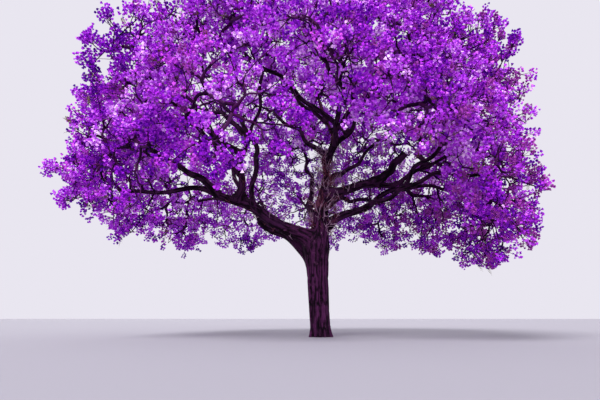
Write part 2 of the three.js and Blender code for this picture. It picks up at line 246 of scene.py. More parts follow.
class Wiring:
    """The shader nodes of a new material, added and linked one after another."""

    def __init__(self, name: str) -> None:
        """Makes the material with its own shader.

        Args:
            name: The material's name.
        """
        self.material = bpy.data.materials.new(name)
        self.material.use_nodes = True
        self.tree = self.material.node_tree
        self.shader = self.tree.nodes["Principled BSDF"]

    def set(self, node: bpy.types.Node, values: dict[str | int, object]) -> None:
        """Fills in a node's inputs.

        Args:
            node: The node.
            values: A number, a colour or the socket to link, for each input by name or number.
        """
        for name, value in values.items():
            if isinstance(value, bpy.types.NodeSocket):
                self.tree.links.new(value, node.inputs[name])
            else:
                node.inputs[name].default_value = value

    def add(self, kind: str, values: dict[str | int, object], **settings: object) -> bpy.types.Node:
        """Adds a node.

        Args:
            kind: Its type, without the prefix that all shader nodes have.
            values: What its inputs hold, as for set.
            **settings: The node's own properties.

        Returns:
            The new node.
        """
        node = self.tree.nodes.new("ShaderNode" + kind)
        for name, value in settings.items():
            setattr(node, name, value)
        self.set(node, values)
        return node

    def ramp(self, value: bpy.types.NodeSocket, stops: dict[float, int]) -> bpy.types.NodeSocket:
        """A colour that follows a value.

        Args:
            value: The socket that it follows.
            stops: The hex colour at each value, from the lowest up.

        Returns:
            The colour's socket.
        """
        node = self.add("ValToRGB", {"Fac": value})
        elements = node.color_ramp.elements
        while len(elements) < len(stops):
            elements.new(1.0)
        for element, (position, colour) in zip(elements, stops.items()):
            element.position = position
            element.color = linear(colour)
        return node.outputs["Color"]


class Finish:
    """A finish whose material is made once and shared by all the pieces that have it."""

    name: str

    def material(self) -> bpy.types.Material:
        """The finish's material, made if it isn't there yet."""
        return bpy.data.materials.get(self.name) or self.make()

    def make(self) -> bpy.types.Material:
        """Makes the material."""
        raise NotImplementedError


@dataclass(frozen=True)
class PlainFinish(Finish):
    """One even colour, for petals, leaves and twigs, which are told apart by their tints, with a
    painted glow where one is given.
    """

    name: str
    colour: int
    roughness: float = 0.65
    shine: float = 0.06
    glow: float = 0.0

    def make(self) -> bpy.types.Material:
        """Makes the even material.

        Returns:
            The new material.
        """
        wiring = Wiring(self.name)
        wiring.material.diffuse_color = linear(self.colour)
        values = {
            "Base Color": linear(self.colour),
            "Roughness": self.roughness,
            "Specular IOR Level": self.shine,
            # The glow is painted light: the colour shines by itself, with no lamp behind it
            "Emission Color": linear(self.colour),
            "Emission Strength": self.glow,
        }
        wiring.set(wiring.shader, values)
        return wiring.material


class Tint(Enum):
    """Tints that are dealt out within one kind of piece, by their finishes."""

    @classmethod
    def materials(cls) -> list[bpy.types.Material]:
        """The materials of all the tints, in order."""
        return [tint.value.material() for tint in cls]


# How strongly petals glow: painted light that stands for the daylight that comes through them
GLOW = 0.08


class Petal(Tint):
    """The tints of the flowers: a ladder from the deepest to the palest, then the pinker ones."""

    DEEP = PlainFinish("petal_deep", 0x600A9C, glow=GLOW)
    INDIGO = PlainFinish("petal_indigo", 0x8014B8, glow=GLOW)
    VIOLET = PlainFinish("petal_violet", 0xA024CA, glow=GLOW)
    PURPLE = PlainFinish("petal_purple", 0xB63CDC, glow=GLOW)
    ORCHID = PlainFinish("petal_orchid", 0xC762E8, glow=GLOW)
    LILAC = PlainFinish("petal_lilac", 0xE09EF4, glow=GLOW)
    PALE = PlainFinish("petal_pale", 0xF6D6FC, glow=GLOW)
    PINK = PlainFinish("petal_pink", 0xBE48D4, glow=GLOW)
    MAUVE = PlainFinish("petal_mauve", 0x983CA0, glow=GLOW)


PINK_TINT = list(Petal).index(Petal.PINK)
MAUVE_TINT = list(Petal).index(Petal.MAUVE)
LADDER = PINK_TINT


class TwigBark(Tint):
    """The tints of thin twigs."""

    DARK = PlainFinish("twig_dark", 0x220728, 0.9)
    BROWN = PlainFinish("twig_brown", 0x3E1040, 0.9)
    GREY = PlainFinish("twig_grey", 0x4E2252, 0.9)


class ShootBark(Tint):
    """The tints of the fine shoots that spring from old wood."""

    PALE = PlainFinish("shoot_pale", 0xA8869E, 0.85)
    RED = PlainFinish("shoot_red", 0x6B3446, 0.85)


class YoungLeaf(Tint):
    """The tints of the few young leaves."""

    BRONZE = PlainFinish("leaf_bronze", 0x7A5030, 0.5, 0.3)
    OLIVE = PlainFinish("leaf_olive", 0x6F6A2A, 0.5, 0.3)


POD_FINISH = PlainFinish("seed_pod", 0x35181A, 0.6, 0.3)

# The mesh attribute that says how far up a ridge of bark each point lies
CREST = "crest"

# Sockets of the mix node that carry colours
MIX_UNDER = 6
MIX_OVER = 7
MIX_RESULT = 2


@dataclass(frozen=True)
class BarkFinish(Finish):
    """Furrowed bark: near black in its furrows, where shade is painted in, its own dark colour on its
    flanks and paler along its ridges, with stains and lichen.
    """

    name: str
    # Near black: painted shade in the deepest furrows, and the colour of the stains
    furrow: int = 0x050106
    flank: int = 0x190518
    ridge: int = 0x461A42
    lichen: int = 0x6C3A62
    furrow_to: float = 0.08
    flank_at: float = 0.5
    ridge_from: float = 0.95
    grain: float = 0.55
    grain_scale: float = 34.0
    grain_detail: float = 5.0
    stain: float = 0.6
    stain_scale: float = 1.7
    stain_detail: float = 4.0
    stain_from: float = 0.42
    stain_whole: float = 0.7
    patch: float = 0.6
    patch_scale: float = 5.5
    patch_detail: float = 6.0
    patch_from: float = 0.62
    patch_edge: float = 0.1
    noise_roughness: float = 0.62
    roughest: float = 0.97
    smoothest: float = 0.78
    shine: float = 0.08
    bump: float = 0.55
    bump_height: float = 0.006

    def make(self) -> bpy.types.Material:
        """Makes a material that reads the mesh's crests for its furrows, with painted shade, and its
        ridges.

        Returns:
            The new material.
        """
        wiring = Wiring(self.name)
        wiring.material.diffuse_color = linear(self.flank)
        crest = wiring.add("Attribute", {}, attribute_name=CREST).outputs["Fac"]
        grain = self._noise(wiring, self.grain_scale, self.grain_detail)
        off = {0: grain, 1: 2 * self.grain, 2: -self.grain}
        rough = wiring.add("Math", off, operation="MULTIPLY_ADD").outputs[0]
        crest_and_grain = wiring.add("Math", {0: crest, 1: rough}, operation="ADD", use_clamp=True).outputs[0]
        # The ramp paints shade into the furrows, darkest where the crest is lowest
        stops = {self.furrow_to: self.furrow, self.flank_at: self.flank, self.ridge_from: self.ridge}
        colour = wiring.ramp(crest_and_grain, stops)
        stain = self._noise(wiring, self.stain_scale, self.stain_detail)
        edge = (self.stain_from, self.stain_whole)
        colour = self._lay(wiring, colour, self.furrow, stain, edge, self.stain)
        patch = self._noise(wiring, self.patch_scale, self.patch_detail)
        edge = (self.patch_from, self.patch_from + self.patch_edge)
        colour = self._lay(wiring, colour, self.lichen, patch, edge, self.patch)
        span = {"Value": crest_and_grain, "To Min": self.roughest, "To Max": self.smoothest}
        relief = {"Height": crest_and_grain, "Strength": self.bump, "Distance": self.bump_height}
        values = {
            "Base Color": colour,
            "Roughness": wiring.add("MapRange", span).outputs["Result"],
            "Normal": wiring.add("Bump", relief).outputs["Normal"],
            "Specular IOR Level": self.shine,
        }
        wiring.set(wiring.shader, values)
        return wiring.material

    def _noise(self, wiring: Wiring, scale: float, detail: float) -> bpy.types.NodeSocket:
        """A noise over the wood.

        Args:
            wiring: The material's nodes.
            scale: Its cells to a metre.
            detail: How many finer layers it has.

        Returns:
            The noise's socket.
        """
        place = wiring.add("TexCoord", {}).outputs["Object"]
        values = {"Vector": place, "Scale": scale, "Detail": detail}
        values["Roughness"] = self.noise_roughness
        return wiring.add("TexNoise", values).outputs["Fac"]

    @staticmethod
    def _lay(
        wiring: Wiring,
        under: bpy.types.NodeSocket,
        over: int,
        value: bpy.types.NodeSocket,
        edge: tuple[float, float],
        most: float,
    ) -> bpy.types.NodeSocket:
        """Lays a colour over another where a value is high.

        Args:
            wiring: The material's nodes.
            under: The colour below.
            over: The hex colour that is laid on.
            value: The socket that says where.
            edge: The values at which the colour starts and is whole.
            most: How much it covers where it is whole.

        Returns:
            The mixed colour's socket.
        """
        values = {"Value": value, "From Min": edge[0], "From Max": edge[1], "To Max": most}
        where = wiring.add("MapRange", values).outputs["Result"]
        mixed = {"Factor": where, MIX_UNDER: under, MIX_OVER: linear(over)}
        return wiring.add("Mix", mixed, data_type="RGBA").outputs[MIX_RESULT]


TRUNK_BARK = BarkFinish("bark_trunk")
BOUGH_BARK = BarkFinish("bark_bough", flank=0x170517, ridge=0x3C173B, patch_from=0.66)
LEADER_BARK = BarkFinish("bark_leader", flank=0x300E26, ridge=0x66344E, patch_from=0.64)


@dataclass(frozen=True)
class SawnFinish(Finish):
    """The weathered face of a sawn limb, with growth rings about its middle."""

    name: str = "sawn_face"
    early: int = 0xA08272
    late: int = 0x6A4C44
    ring_scale: float = 26.0
    roughness: float = 0.85
    shine: float = 0.15

    def make(self) -> bpy.types.Material:
        """Makes rings from the mesh's crests, which fall to 0 at the face's middle.

        Returns:
            The new material.
        """
        wiring = Wiring(self.name)
        crest = wiring.add("Attribute", {}, attribute_name=CREST).outputs["Fac"]
        turns = wiring.add("Math", {0: crest, 1: self.ring_scale}, operation="MULTIPLY").outputs[0]
        rings = wiring.add("Math", {0: turns}, operation="SINE").outputs[0]
        colour = wiring.ramp(rings, {0.0: self.late, 1.0: self.early})
        values = {"Base Color": colour, "Roughness": self.roughness, "Specular IOR Level": self.shine}
        wiring.set(wiring.shader, values)
        return wiring.material


# Meshes


@dataclass
class Shape:
    """The points and faces of one piece, gathered part by part."""

    points: list[Array] = field(default_factory=list)
    faces: list[Array] = field(default_factory=list)
    tints: list[Array] = field(default_factory=list)
    crests: list[Array] = field(default_factory=list)
    count: int = 0

    def add(
        self,
        points: Array,
        faces: list[Array],
        tint: int | Array = 0,
        crest: Array | None = None,
    ) -> None:
        """Adds a part.

        Args:
            points: Its points, in any shape that ends in 3.
            faces: Arrays of corners, each with as many corners a face as it is wide.
            tint: The number of its material, or one for each face of the first array.
            crest: How far up a ridge of bark each point lies, if it is bark.
        """
        for k, corners in enumerate(faces):
            self.faces.append(corners + self.count)
            one = tint if k == 0 or np.isscalar(tint) else 0
            self.tints.append(np.broadcast_to(one, len(corners)))
        if crest is not None:
            self.crests.append(crest.reshape(-1))
        flat = points.reshape(-1, 3)
        self.points.append(flat)
        self.count += len(flat)

    def build(self, name: str, materials: list[bpy.types.Material], smooth: bool) -> bpy.types.Object:
        """Makes the piece and links it to the scene.

        Args:
            name: The piece's name.
            materials: Its materials, in the order of the tints.
            smooth: Whether it is shaded smoothly.

        Returns:
            The new object.
        """
        mesh = bpy.data.meshes.new(name)
        points = np.concatenate(self.points)
        corners = np.concatenate([f.reshape(-1) for f in self.faces])
        widths = np.concatenate([np.full(len(f), f.shape[1]) for f in self.faces])
        mesh.vertices.add(len(points))
        mesh.vertices.foreach_set("co", points.astype(np.float32).reshape(-1))
        mesh.loops.add(len(corners))
        mesh.loops.foreach_set("vertex_index", corners.astype(np.int32))
        mesh.polygons.add(len(widths))
        mesh.polygons.foreach_set("loop_start", (np.cumsum(widths) - widths).astype(np.int32))
        mesh.polygons.foreach_set("material_index", np.concatenate(self.tints).astype(np.int32))
        mesh.polygons.foreach_set("use_smooth", np.full(len(widths), smooth))
        if self.crests:
            set_crests(mesh, np.concatenate(self.crests))
        for material in materials:
            mesh.materials.append(material)
        mesh.update(calc_edges=True)
        return link(name, mesh)


def set_crests(mesh: bpy.types.Mesh, crest: Array) -> None:
    """Stores how far up a ridge of bark each point of a mesh lies."""
    mesh.attributes.new(CREST, "FLOAT", "POINT").data.foreach_set("value", crest.astype(np.float32))


def link(name: str, data: bpy.types.ID) -> bpy.types.Object:
    """Makes an object and links it to the scene.

    Args:
        name: The object's name.
        data: Its mesh, lamp or camera.

    Returns:
        The new object.
    """
    made = bpy.data.objects.new(name, data)
    bpy.context.scene.collection.objects.link(made)
    return made


def dress(piece: bpy.types.Object, slot: str, nodes: list[str]) -> int:
    """Lets a piece ride with the tree, hides the nodes that it stands for and reports it.

    Args:
        piece: The finished piece.
        slot: The name of the material slot that it is reported under.
        nodes: The nodes that it replaces.

    Returns:
        How many triangles it has.
    """
    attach(piece, BODY)
    if nodes:
        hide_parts(*nodes)
    mesh = piece.data
    triangles = len(mesh.loops) - 2 * len(mesh.polygons)
    LOG.info("%s: %d triangles, %s, replaces %d nodes", piece.name, triangles, slot, len(nodes))
    return triangles


def ring_faces(rings: int, sides: int) -> Array:
    """The four-cornered faces between rings of points.

    Args:
        rings: How many rings there are.
        sides: How many points each ring has.

    Returns:
        An array of faces with 4 corners.
    """
    ring, side = np.meshgrid(np.arange(rings - 1), np.arange(sides), indexing="ij")
    a = ring * sides + side
    b = ring * sides + (side + 1) % sides
    return np.stack([a, b, b + sides, a + sides], -1).reshape(-1, 4)


def closed_faces(rings: int, sides: int) -> list[Array]:
    """The faces of a tube of rings with flat ends."""
    foot = np.arange(sides)[None]
    return [ring_faces(rings, sides), foot[:, ::-1], foot + (rings - 1) * sides]


def repeated(faces: Array, parts: int, points: int) -> Array:
    """The faces of many like parts, one part after another.

    Args:
        faces: The faces of one part.
        parts: How many parts there are.
        points: How many points each part has.

    Returns:
        All the faces.
    """
    first = (np.arange(parts) * points)[:, None, None]
    return (faces[None] + first).reshape(-1, faces.shape[1])


def tubes(path: Array, radii: Array, sides: int) -> tuple[Array, list[Array]]:
    """Many slim closed tubes at once.

    Args:
        path: For each tube, its points from end to end.
        radii: For each tube, its radius at each point.
        sides: How many sides the tubes have.

    Returns:
        The points, and the faces' corners: first the walls and then the ends.
    """
    many, rings, _ = path.shape
    heading = unit(np.gradient(path, axis=1))
    across = square_to(unit(path[:, -1] - path[:, 0]))[0][:, None, :]
    u = unit(across - heading * np.sum(across * heading, -1, keepdims=True))
    turn = np.broadcast_to(circle(sides), (many, rings, sides))
    points = path[:, :, None] + spokes(u, np.cross(heading, u), turn) * radii[:, :, None, None]
    walls, *ends = (repeated(faces, many, rings * sides) for faces in closed_faces(rings, sides))
    return points, [walls, np.concatenate(ends)]


# The limbs


@dataclass(frozen=True, eq=False)
class Limb:
    """One tapering limb along a curve made crooked by two waves."""

    name: str
    carrier: str
    start: Array
    tip: Array
    lift: float
    swing: float
    phase: float
    base: float
    end: float
    forks: list[tuple[float, float]] = field(default_factory=list)
    taper_power: float = 0.8
    fork_loss: float = 0.35
    fork_step: float = 0.08
    crooked: float = 0.028
    waves: tuple[tuple[float, float, float], ...] = ((2.6, 1.0, 1.0), (6.1, 2.1, 0.5))
    upward_phase: float = 2.0
    nudge: float = 0.01
    collar_swell: float = 0.3
    collar_reach: float = 1.6

    @property
    def length(self) -> float:
        """The straight distance from its start to its tip."""
        return float(np.linalg.norm(self.tip - self.start))

    def _wave(self, t: Array, phase: float) -> Array:
        """How far the waves take the curve aside.

        Args:
            t: How far along the curve, from 0 to 1.
            phase: Where the waves start.

        Returns:
            A distance for each t.
        """
        waves = sum(
            size * np.sin(turn * math.pi * t + shift * phase) for turn, shift, size in self.waves
        )
        return self.crooked * self.length * np.sin(math.pi * t) * waves

    def point(self, t: Array | float) -> Array:
        """The curve's points.

        Args:
            t: How far along the curve, from 0 to 1.

        Returns:
            A point for each t.
        """
        t = np.asarray(t, float)[..., None]
        chord = self.tip - self.start
        across = unit(np.array([-chord[1], chord[0], 0.0]))
        upward = unit(np.cross(chord, across))
        upward = upward if upward[2] >= 0 else -upward
        bend = (self.start + self.tip) / 2 + UP * 2 * self.lift + across * 2 * self.swing
        smooth = (1 - t) ** 2 * self.start + 2 * t * (1 - t) * bend + t * t * self.tip
        aside = across * self._wave(t, self.phase)
        return smooth + aside + upward * self._wave(t, self.phase + self.upward_phase)

    def heading(self, t: Array | float) -> Array:
        """The curve's directions.

        Args:
            t: How far along the curve, from 0 to 1.

        Returns:
            A unit vector for each t.
        """
        t = np.asarray(t, float)
        ahead = self.point(np.minimum(1, t + self.nudge))
        return unit(ahead - self.point(np.maximum(0, t - self.nudge)))

    def _taper(self, t: Array | float) -> Array | float:
        """The limb's radius at t, before its forks and its collar."""
        return self.base + (self.end - self.base) * t**self.taper_power

    def radius(self, t: Array | float) -> Array:
        """The limb's radius.

        Args:
            t: How far along the limb, from 0 to 1.

        Returns:
            The radius at each t: wider at the collar, and slimmer beyond each limb that leaves it.
        """
        t = np.asarray(t, float)
        radius = self._taper(t)
        for at, base in self.forks:
            taken = min(1, base / self._taper(at)) ** 2
            beyond = smoothstep(t, at, at + self.fork_step)
            radius = radius * np.sqrt(1 - self.fork_loss * taken * beyond)
        collar = self.collar_swell * np.exp(-t * self.length / (self.collar_reach * self.base))
        return np.maximum(radius, self.end) * (1 + collar)

    def frames(self, t: Array) -> tuple[Array, Array, Array, Array]:
        """The curve's points and directions, with two more directions carried along without a twist.

        Args:
            t: Rising places along the curve.

        Returns:
            The points, the headings and the two directions square to each.
        """
        centre, heading = self.point(t), self.heading(t)
        u = np.empty_like(heading)
        u[0] = square_to(heading[0])[0]
        for i in range(1, len(t)):
            u[i] = unit(u[i - 1] - heading[i] * (u[i - 1] @ heading[i]))
        return centre, heading, u, np.cross(heading, u)


@dataclass(frozen=True)
class TrunkForm:
    """The trunk's outline: fluted and grooved, with a low root flare, swelling to the fork."""

    fork_height: float = 3.85
    radius: float = 0.425
    flare: float = 0.11
    flare_height: float = 0.28
    swell: float = 0.07
    swell_from: float = 0.6
    lean: float = -0.05
    flutes: tuple[tuple[int, float, float], ...] = ((3, 0.9, 0.05), (7, -0.4, 0.035), (13, 1.3, 0.018))
    groove_bearing: float = 294.0
    groove_width: float = 10.0
    groove_depth: float = 0.26
    groove_wander: float = 4.0
    groove_wave: float = 2.1
    roots: int = 5
    root_phase: float = 0.6
    least_root: float = 0.2
    most_root: float = 1.35
    waist_bearing: float = 185.0
    waist: float = 0.205
    waist_height: float = 1.4
    closing_from: float = 3.4
    closing_height: float = 0.52
    least_closing: float = 0.02

    def point(self, t: Array | float) -> Array:
        """Points on the trunk's axis, from the ground at 0 to the fork at 1."""
        t = np.asarray(t, float)[..., None]
        return t * np.array([self.lean, 0, self.fork_height])

    def outline(self, height: Array, turn: Array) -> Array:
        """The trunk's radius at a height and a turn about its axis.

        Args:
            height: Metres above the ground.
            turn: The angle about the axis, in radians from +X.

        Returns:
            The radius, which closes to nothing above the fork.
        """
        low = np.exp(-np.maximum(height, 0) / self.flare_height)
        high = smoothstep(height, self.swell_from * self.fork_height, self.fork_height)
        between = 0.5 + 0.5 * np.cos(self.roots * turn + self.root_phase)
        root = self.least_root + (self.most_root - self.least_root) * between
        flutes = sum(depth * np.cos(count * turn + phase) for count, phase, depth in self.flutes)
        middle = self.groove_bearing + self.groove_wander * np.sin(self.groove_wave * height)
        off = either_way(np.degrees(turn) - middle)
        groove = self.groove_depth * np.exp(-((off / self.groove_width) ** 2))
        facing = np.maximum(np.cos(turn - math.radians(self.waist_bearing)), 0)
        waist = self.waist * np.exp(-np.maximum(height, 0) / self.waist_height) * facing
        whole = (self.radius + self.swell * high) * (1 + flutes - groove)
        whole = whole + self.flare * low * root - waist
        shut = np.clip((height - self.closing_from) / self.closing_height, 0, 1)
        return whole * np.sqrt(np.maximum(1 - shut**2, self.least_closing))

    def distance(self, p: Array) -> Array:
        """About how far points lie outside the trunk, below 0 inside it."""
        x = p[..., 0] - self.lean * p[..., 2] / self.fork_height
        return np.hypot(x, p[..., 1]) - self.outline(p[..., 2], np.arctan2(p[..., 1], x))


@dataclass
class Skeleton:
    """The trunk and all the limbs that it carries."""

    trunk: TrunkForm = field(default_factory=TrunkForm)
    limbs: dict[str, Limb] = field(default_factory=dict)

    def __post_init__(self) -> None:
        """Grows the limbs in the order of their rows."""
        for k, row in enumerate((*BOUGHS, STUB)):
            name, carrier, at, bearing, reach, height, lift, swing, base, end = row
            start = self.carrier_of(carrier).point(at)
            tip = on_bearing(bearing, reach, height)
            self.limbs[name] = Limb(name, carrier, start, tip, lift, swing, PHASE_STEP * k, base, end)
            if carrier in self.limbs:
                self.limbs[carrier].forks.append((at, base))

    def carrier_of(self, name: str) -> "Limb | TrunkForm":
        """The limb of this name, or the trunk."""
        return self.trunk if name == "trunk" else self.limbs[name]

    def boughs(self) -> list[Limb]:
        """The limbs that carry blossom, in order."""
        return [self.limbs[row[0]] for row in BOUGHS]

    def primaries(self) -> list[Limb]:
        """The limbs that leave the trunk itself."""
        return [limb for limb in self.limbs.values() if limb.carrier == "trunk"]


# Trunk and boughs


@dataclass(frozen=True)
class Knot:
    """A blunt swelling on a limb, where a smaller one was lost long ago."""

    limb: str
    at: float
    bearing: float
    swell: float
    reach: float

    def swelling(self, limb: Limb, along: Array, way: Array) -> Array:
        """How much the knot adds to a limb's radius.

        Args:
            limb: The limb.
            along: How far along it each point lies, in metres.
            way: The direction of each point from the limb's middle.

        Returns:
            A share of the radius for each point.
        """
        near = np.exp(-(((along - self.at * limb.length) / self.reach) ** 2))
        return self.swell * near * np.maximum(way @ on_bearing(self.bearing, 1, 0), 0) ** 2


KNOTS = (
    Knot("leader", 0.53, 205, 1.1, 0.24),
    Knot("leader", 0.3, 250, 0.35, 0.2),
    Knot("left_riser", 0.3, 185, 1.3, 0.2),
    Knot("left", 0.3, 270, 0.35, 0.25),
    Knot("right", 0.36, 300, 0.5, 0.2),
    Knot("front_riser", 0.3, 300, 0.6, 0.2),
    Knot("right_high", 0.3, 280, 0.5, 0.2),
    Knot("back", 0.35, 60, 0.5, 0.2),
)


@dataclass(frozen=True)
class BarkRelief:
    """Broad ridges with narrow furrows between them, which run along the wood."""

    spacing: float = 0.085
    stretch: float = 6.0
    sharpness: float = 2.6
    broad: float = 0.68
    fine: float = 0.32
    fineness: float = 2.3
    fine_shift: float = 5.1
    share: float = 0.06
    shallowest: float = 0.004
    deepest: float = 0.024
    level: float = 0.6

    def crest(self, turn: Array, along: Array, radius: Array, seed: int) -> Array:
        """How far up a ridge each place on the wood lies.

        Args:
            turn: The angle about the limb's middle.
            along: Metres along the limb.
            radius: The limb's radius there.
            seed: Which limb's bark it is.

        Returns:
            A number for each place, from 0 in a furrow to 1 on a ridge.
        """
        place = np.stack([np.cos(turn) * radius, np.sin(turn) * radius, along / self.stretch], -1)
        place = place / self.spacing
        broad = np.abs(2 * noise(place, seed) - 1)
        fine = np.abs(2 * noise(place * self.fineness + self.fine_shift, seed + 1) - 1)
        return np.clip(self.sharpness * (self.broad * broad + self.fine * fine), 0, 1)

    def height(self, crest: Array, radius: Array) -> Array:
        """How far a ridge or furrow stands off the limb's surface."""
        depth = np.clip(self.share * radius, self.shallowest, self.deepest)
        return (crest - self.level) * depth


@dataclass
class TrunkPiece:
    """The trunk with its fork: the feet of the limbs that leave it grow out of it without a seam."""

    skeleton: Skeleton
    relief: BarkRelief = field(default_factory=lambda: BarkRelief(deepest=0.028))
    sides: int = 72
    ring_step: float = 0.07
    closed_at: float = 0.98
    foot_sides: int = 28
    foot_rings: int = 26
    foot_length: float = 1.55
    foot_taper: float = 0.3
    foot_end: float = 0.8
    voxel: float = 0.03
    fillet: float = 0.085
    fillet_from: float = 0.45
    turns: int = 5
    step: float = 0.01
    longest_move: float = 0.05
    least_slope: float = 0.25
    samples: int = 60
    blend: float = 0.05

    def build(self) -> int:
        """Makes the trunk's piece.

        Returns:
            Its number of triangles.
        """
        shape = Shape()
        self._add_trunk(shape)
        for limb in self.skeleton.primaries():
            self._add_foot(shape, limb)
        mesh = self._remeshed(shape)
        points = self._fillet(self._read(mesh.vertices, "co").astype(float))
        self._move(mesh, points)
        normals = self._read(mesh.vertices, "normal")
        crest, radius = self._crest(points)
        points = points + normals * self.relief.height(crest, radius)[:, None]
        points[:, 2] = np.maximum(points[:, 2], 0)
        self._move(mesh, points)
        mesh.polygons.foreach_set("use_smooth", np.full(len(mesh.polygons), True))
        set_crests(mesh, crest)
        mesh.materials.clear()
        mesh.materials.append(TRUNK_BARK.material())
        return dress(link("bark_trunk", mesh), "bark", ["trunk"])

    @staticmethod
    def _read(vertices: bpy.types.MeshVertices, name: str) -> Array:
        """Reads what every point of a mesh has under one name.

        Args:
            vertices: The mesh's points.
            name: What is read, with three numbers a point.

        Returns:
            A row for each point.
        """
        values = np.empty(len(vertices) * 3, np.float32)
        vertices.foreach_get(name, values)
        return values.reshape(-1, 3)

    @staticmethod
    def _move(mesh: bpy.types.Mesh, points: Array) -> None:
        """Moves a mesh's points to new places."""
        mesh.vertices.foreach_set("co", points.astype(np.float32).reshape(-1))
        mesh.update()

    def _remeshed(self, shape: Shape) -> bpy.types.Mesh:
        """One closed mesh of even faces round all the parts of a shape.

        Args:
            shape: The shape.

        Returns:
            The new mesh.
        """
        rough = shape.build("trunk_rough", [], True)
        remesh = rough.modifiers.new("Whole", "REMESH")
        remesh.mode = "VOXEL"
        remesh.voxel_size = self.voxel
        evaluated = rough.evaluated_get(bpy.context.evaluated_depsgraph_get())
        mesh = bpy.data.meshes.new_from_object(evaluated)
        bpy.data.objects.remove(rough)
        return mesh

    def _add_trunk(self, shape: Shape) -> None:
        """Adds the trunk alone, closed above and below.

        Args:
            shape: The shape that it is added to.
        """
        form = self.skeleton.trunk
        top = form.closing_from + form.closing_height * self.closed_at
        height = np.linspace(0, top, round(top / self.ring_step))[:, None]
        turn = circle(self.sides)[None, :]
        reach = form.outline(height, turn)
        x = reach * np.cos(turn) + form.lean * height / form.fork_height
        points = np.stack([x, reach * np.sin(turn), height + 0 * turn], -1)
        shape.add(points, closed_faces(*points.shape[:2]))

    def _foot_places(self, limb: Limb, count: int) -> Array:
        """So many places along the first stretch of a limb."""
        return np.linspace(0, self.foot_length / limb.length, count)

    def _foot_radius(self, limb: Limb, t: Array) -> Array:
        """The radius of a limb's foot, which slips inside the bough's own bark at its end."""
        left = (self.foot_length - t * limb.length) / self.foot_taper
        return limb.radius(t) * (self.foot_end + (1 - self.foot_end) * smoothstep(left, 0, 1))

    def _add_foot(self, shape: Shape, limb: Limb) -> None:
        """Adds the first stretch of a limb that leaves the trunk.

        Args:
            shape: The shape that it is added to.
            limb: The limb.
        """
        t = self._foot_places(limb, self.foot_rings)
        centre, _, u, v = limb.frames(t)
        turn = np.broadcast_to(circle(self.foot_sides), (len(t), self.foot_sides))
        points = centre[:, None] + spokes(u, v, turn) * self._foot_radius(limb, t)[:, None, None]
        shape.add(points, closed_faces(*points.shape[:2]))

    def _limb_distance(self, limb: Limb, p: Array) -> Array:
        """About how far points lie outside a limb's foot.

        Args:
            limb: The limb.
            p: The points.

        Returns:
            A distance for each point, below 0 inside the foot.
        """
        t = self._foot_places(limb, self.samples)
        nearest = np.full(len(p), np.inf)
        for centre, radius in zip(limb.point(t), self._foot_radius(limb, t)):
            nearest = np.minimum(nearest, np.linalg.norm(p - centre, axis=-1) - radius)
        return nearest

    def _distance(self, p: Array) -> Array:
        """About how far points lie outside the whole, with soft hollows where its parts meet.

        Args:
            p: The points.

        Returns:
            A distance for each point, below 0 inside the whole.
        """
        parts = [self.skeleton.trunk.distance(p)]
        parts += [self._limb_distance(limb, p) for limb in self.skeleton.primaries()]
        stacked = np.stack(parts)
        least = stacked.min(0)
        return least - self.fillet * np.log(np.exp((least - stacked) / self.fillet).sum(0))

    def _fillet(self, points: Array) -> Array:
        """Moves points out to the soft hollows between the trunk and its limbs.

        Args:
            points: The points of the joined mesh.

        Returns:
            The moved points.
        """
        moving = points[:, 2] > self.skeleton.trunk.fork_height * self.fillet_from
        p = points[moving]
        for _ in range(self.turns):
            here = self._distance(p)
            ahead = [self._distance(p + self.step * axis) for axis in np.eye(3)]
            slope = (np.stack(ahead, -1) - here[:, None]) / self.step
            steep = np.maximum((slope**2).sum(-1, keepdims=True), self.least_slope)
            move = here[:, None] * slope / steep
            size = np.linalg.norm(move, axis=-1, keepdims=True)
            p = p - move * np.minimum(1, self.longest_move / np.maximum(size, TINY))
        points = points.copy()
        points[moving] = p
        return points

    def _crest(self, points: Array) -> tuple[Array, Array]:
        """The bark's ridges over the whole piece.

        Args:
            points: The points of the mesh.

        Returns:
            How far up a ridge each point lies, and the radius of the wood there.
        """
        form = self.skeleton.trunk
        x = points[:, 0] - form.lean * points[:, 2] / form.fork_height
        reach = np.full(len(points), form.radius)
        crests = [self.relief.crest(np.arctan2(points[:, 1], x), points[:, 2], reach, Seed.TRUNK)]
        gaps = [form.distance(points)]
        sizes = [reach]
        for k, limb in enumerate(self.skeleton.primaries()):
            t = self._foot_places(limb, self.foot_rings)
            centre, _, u, v = limb.frames(t)
            near = np.argmin(np.linalg.norm(points[:, None] - centre[None], axis=-1), axis=1)
            off = points - centre[near]
            turn = np.arctan2((off * v[near]).sum(-1), (off * u[near]).sum(-1))
            radius = limb.radius(t)[near]
            crests.append(self.relief.crest(turn, t[near] * limb.length, radius, Seed.FEET + k))
            gaps.append(self._limb_distance(limb, points))
            sizes.append(radius)
        weight = np.exp(-np.abs(np.stack(gaps)) / self.blend) + TINY
        weight /= weight.sum(0)
        return (np.stack(crests) * weight).sum(0), (np.stack(sizes) * weight).sum(0)


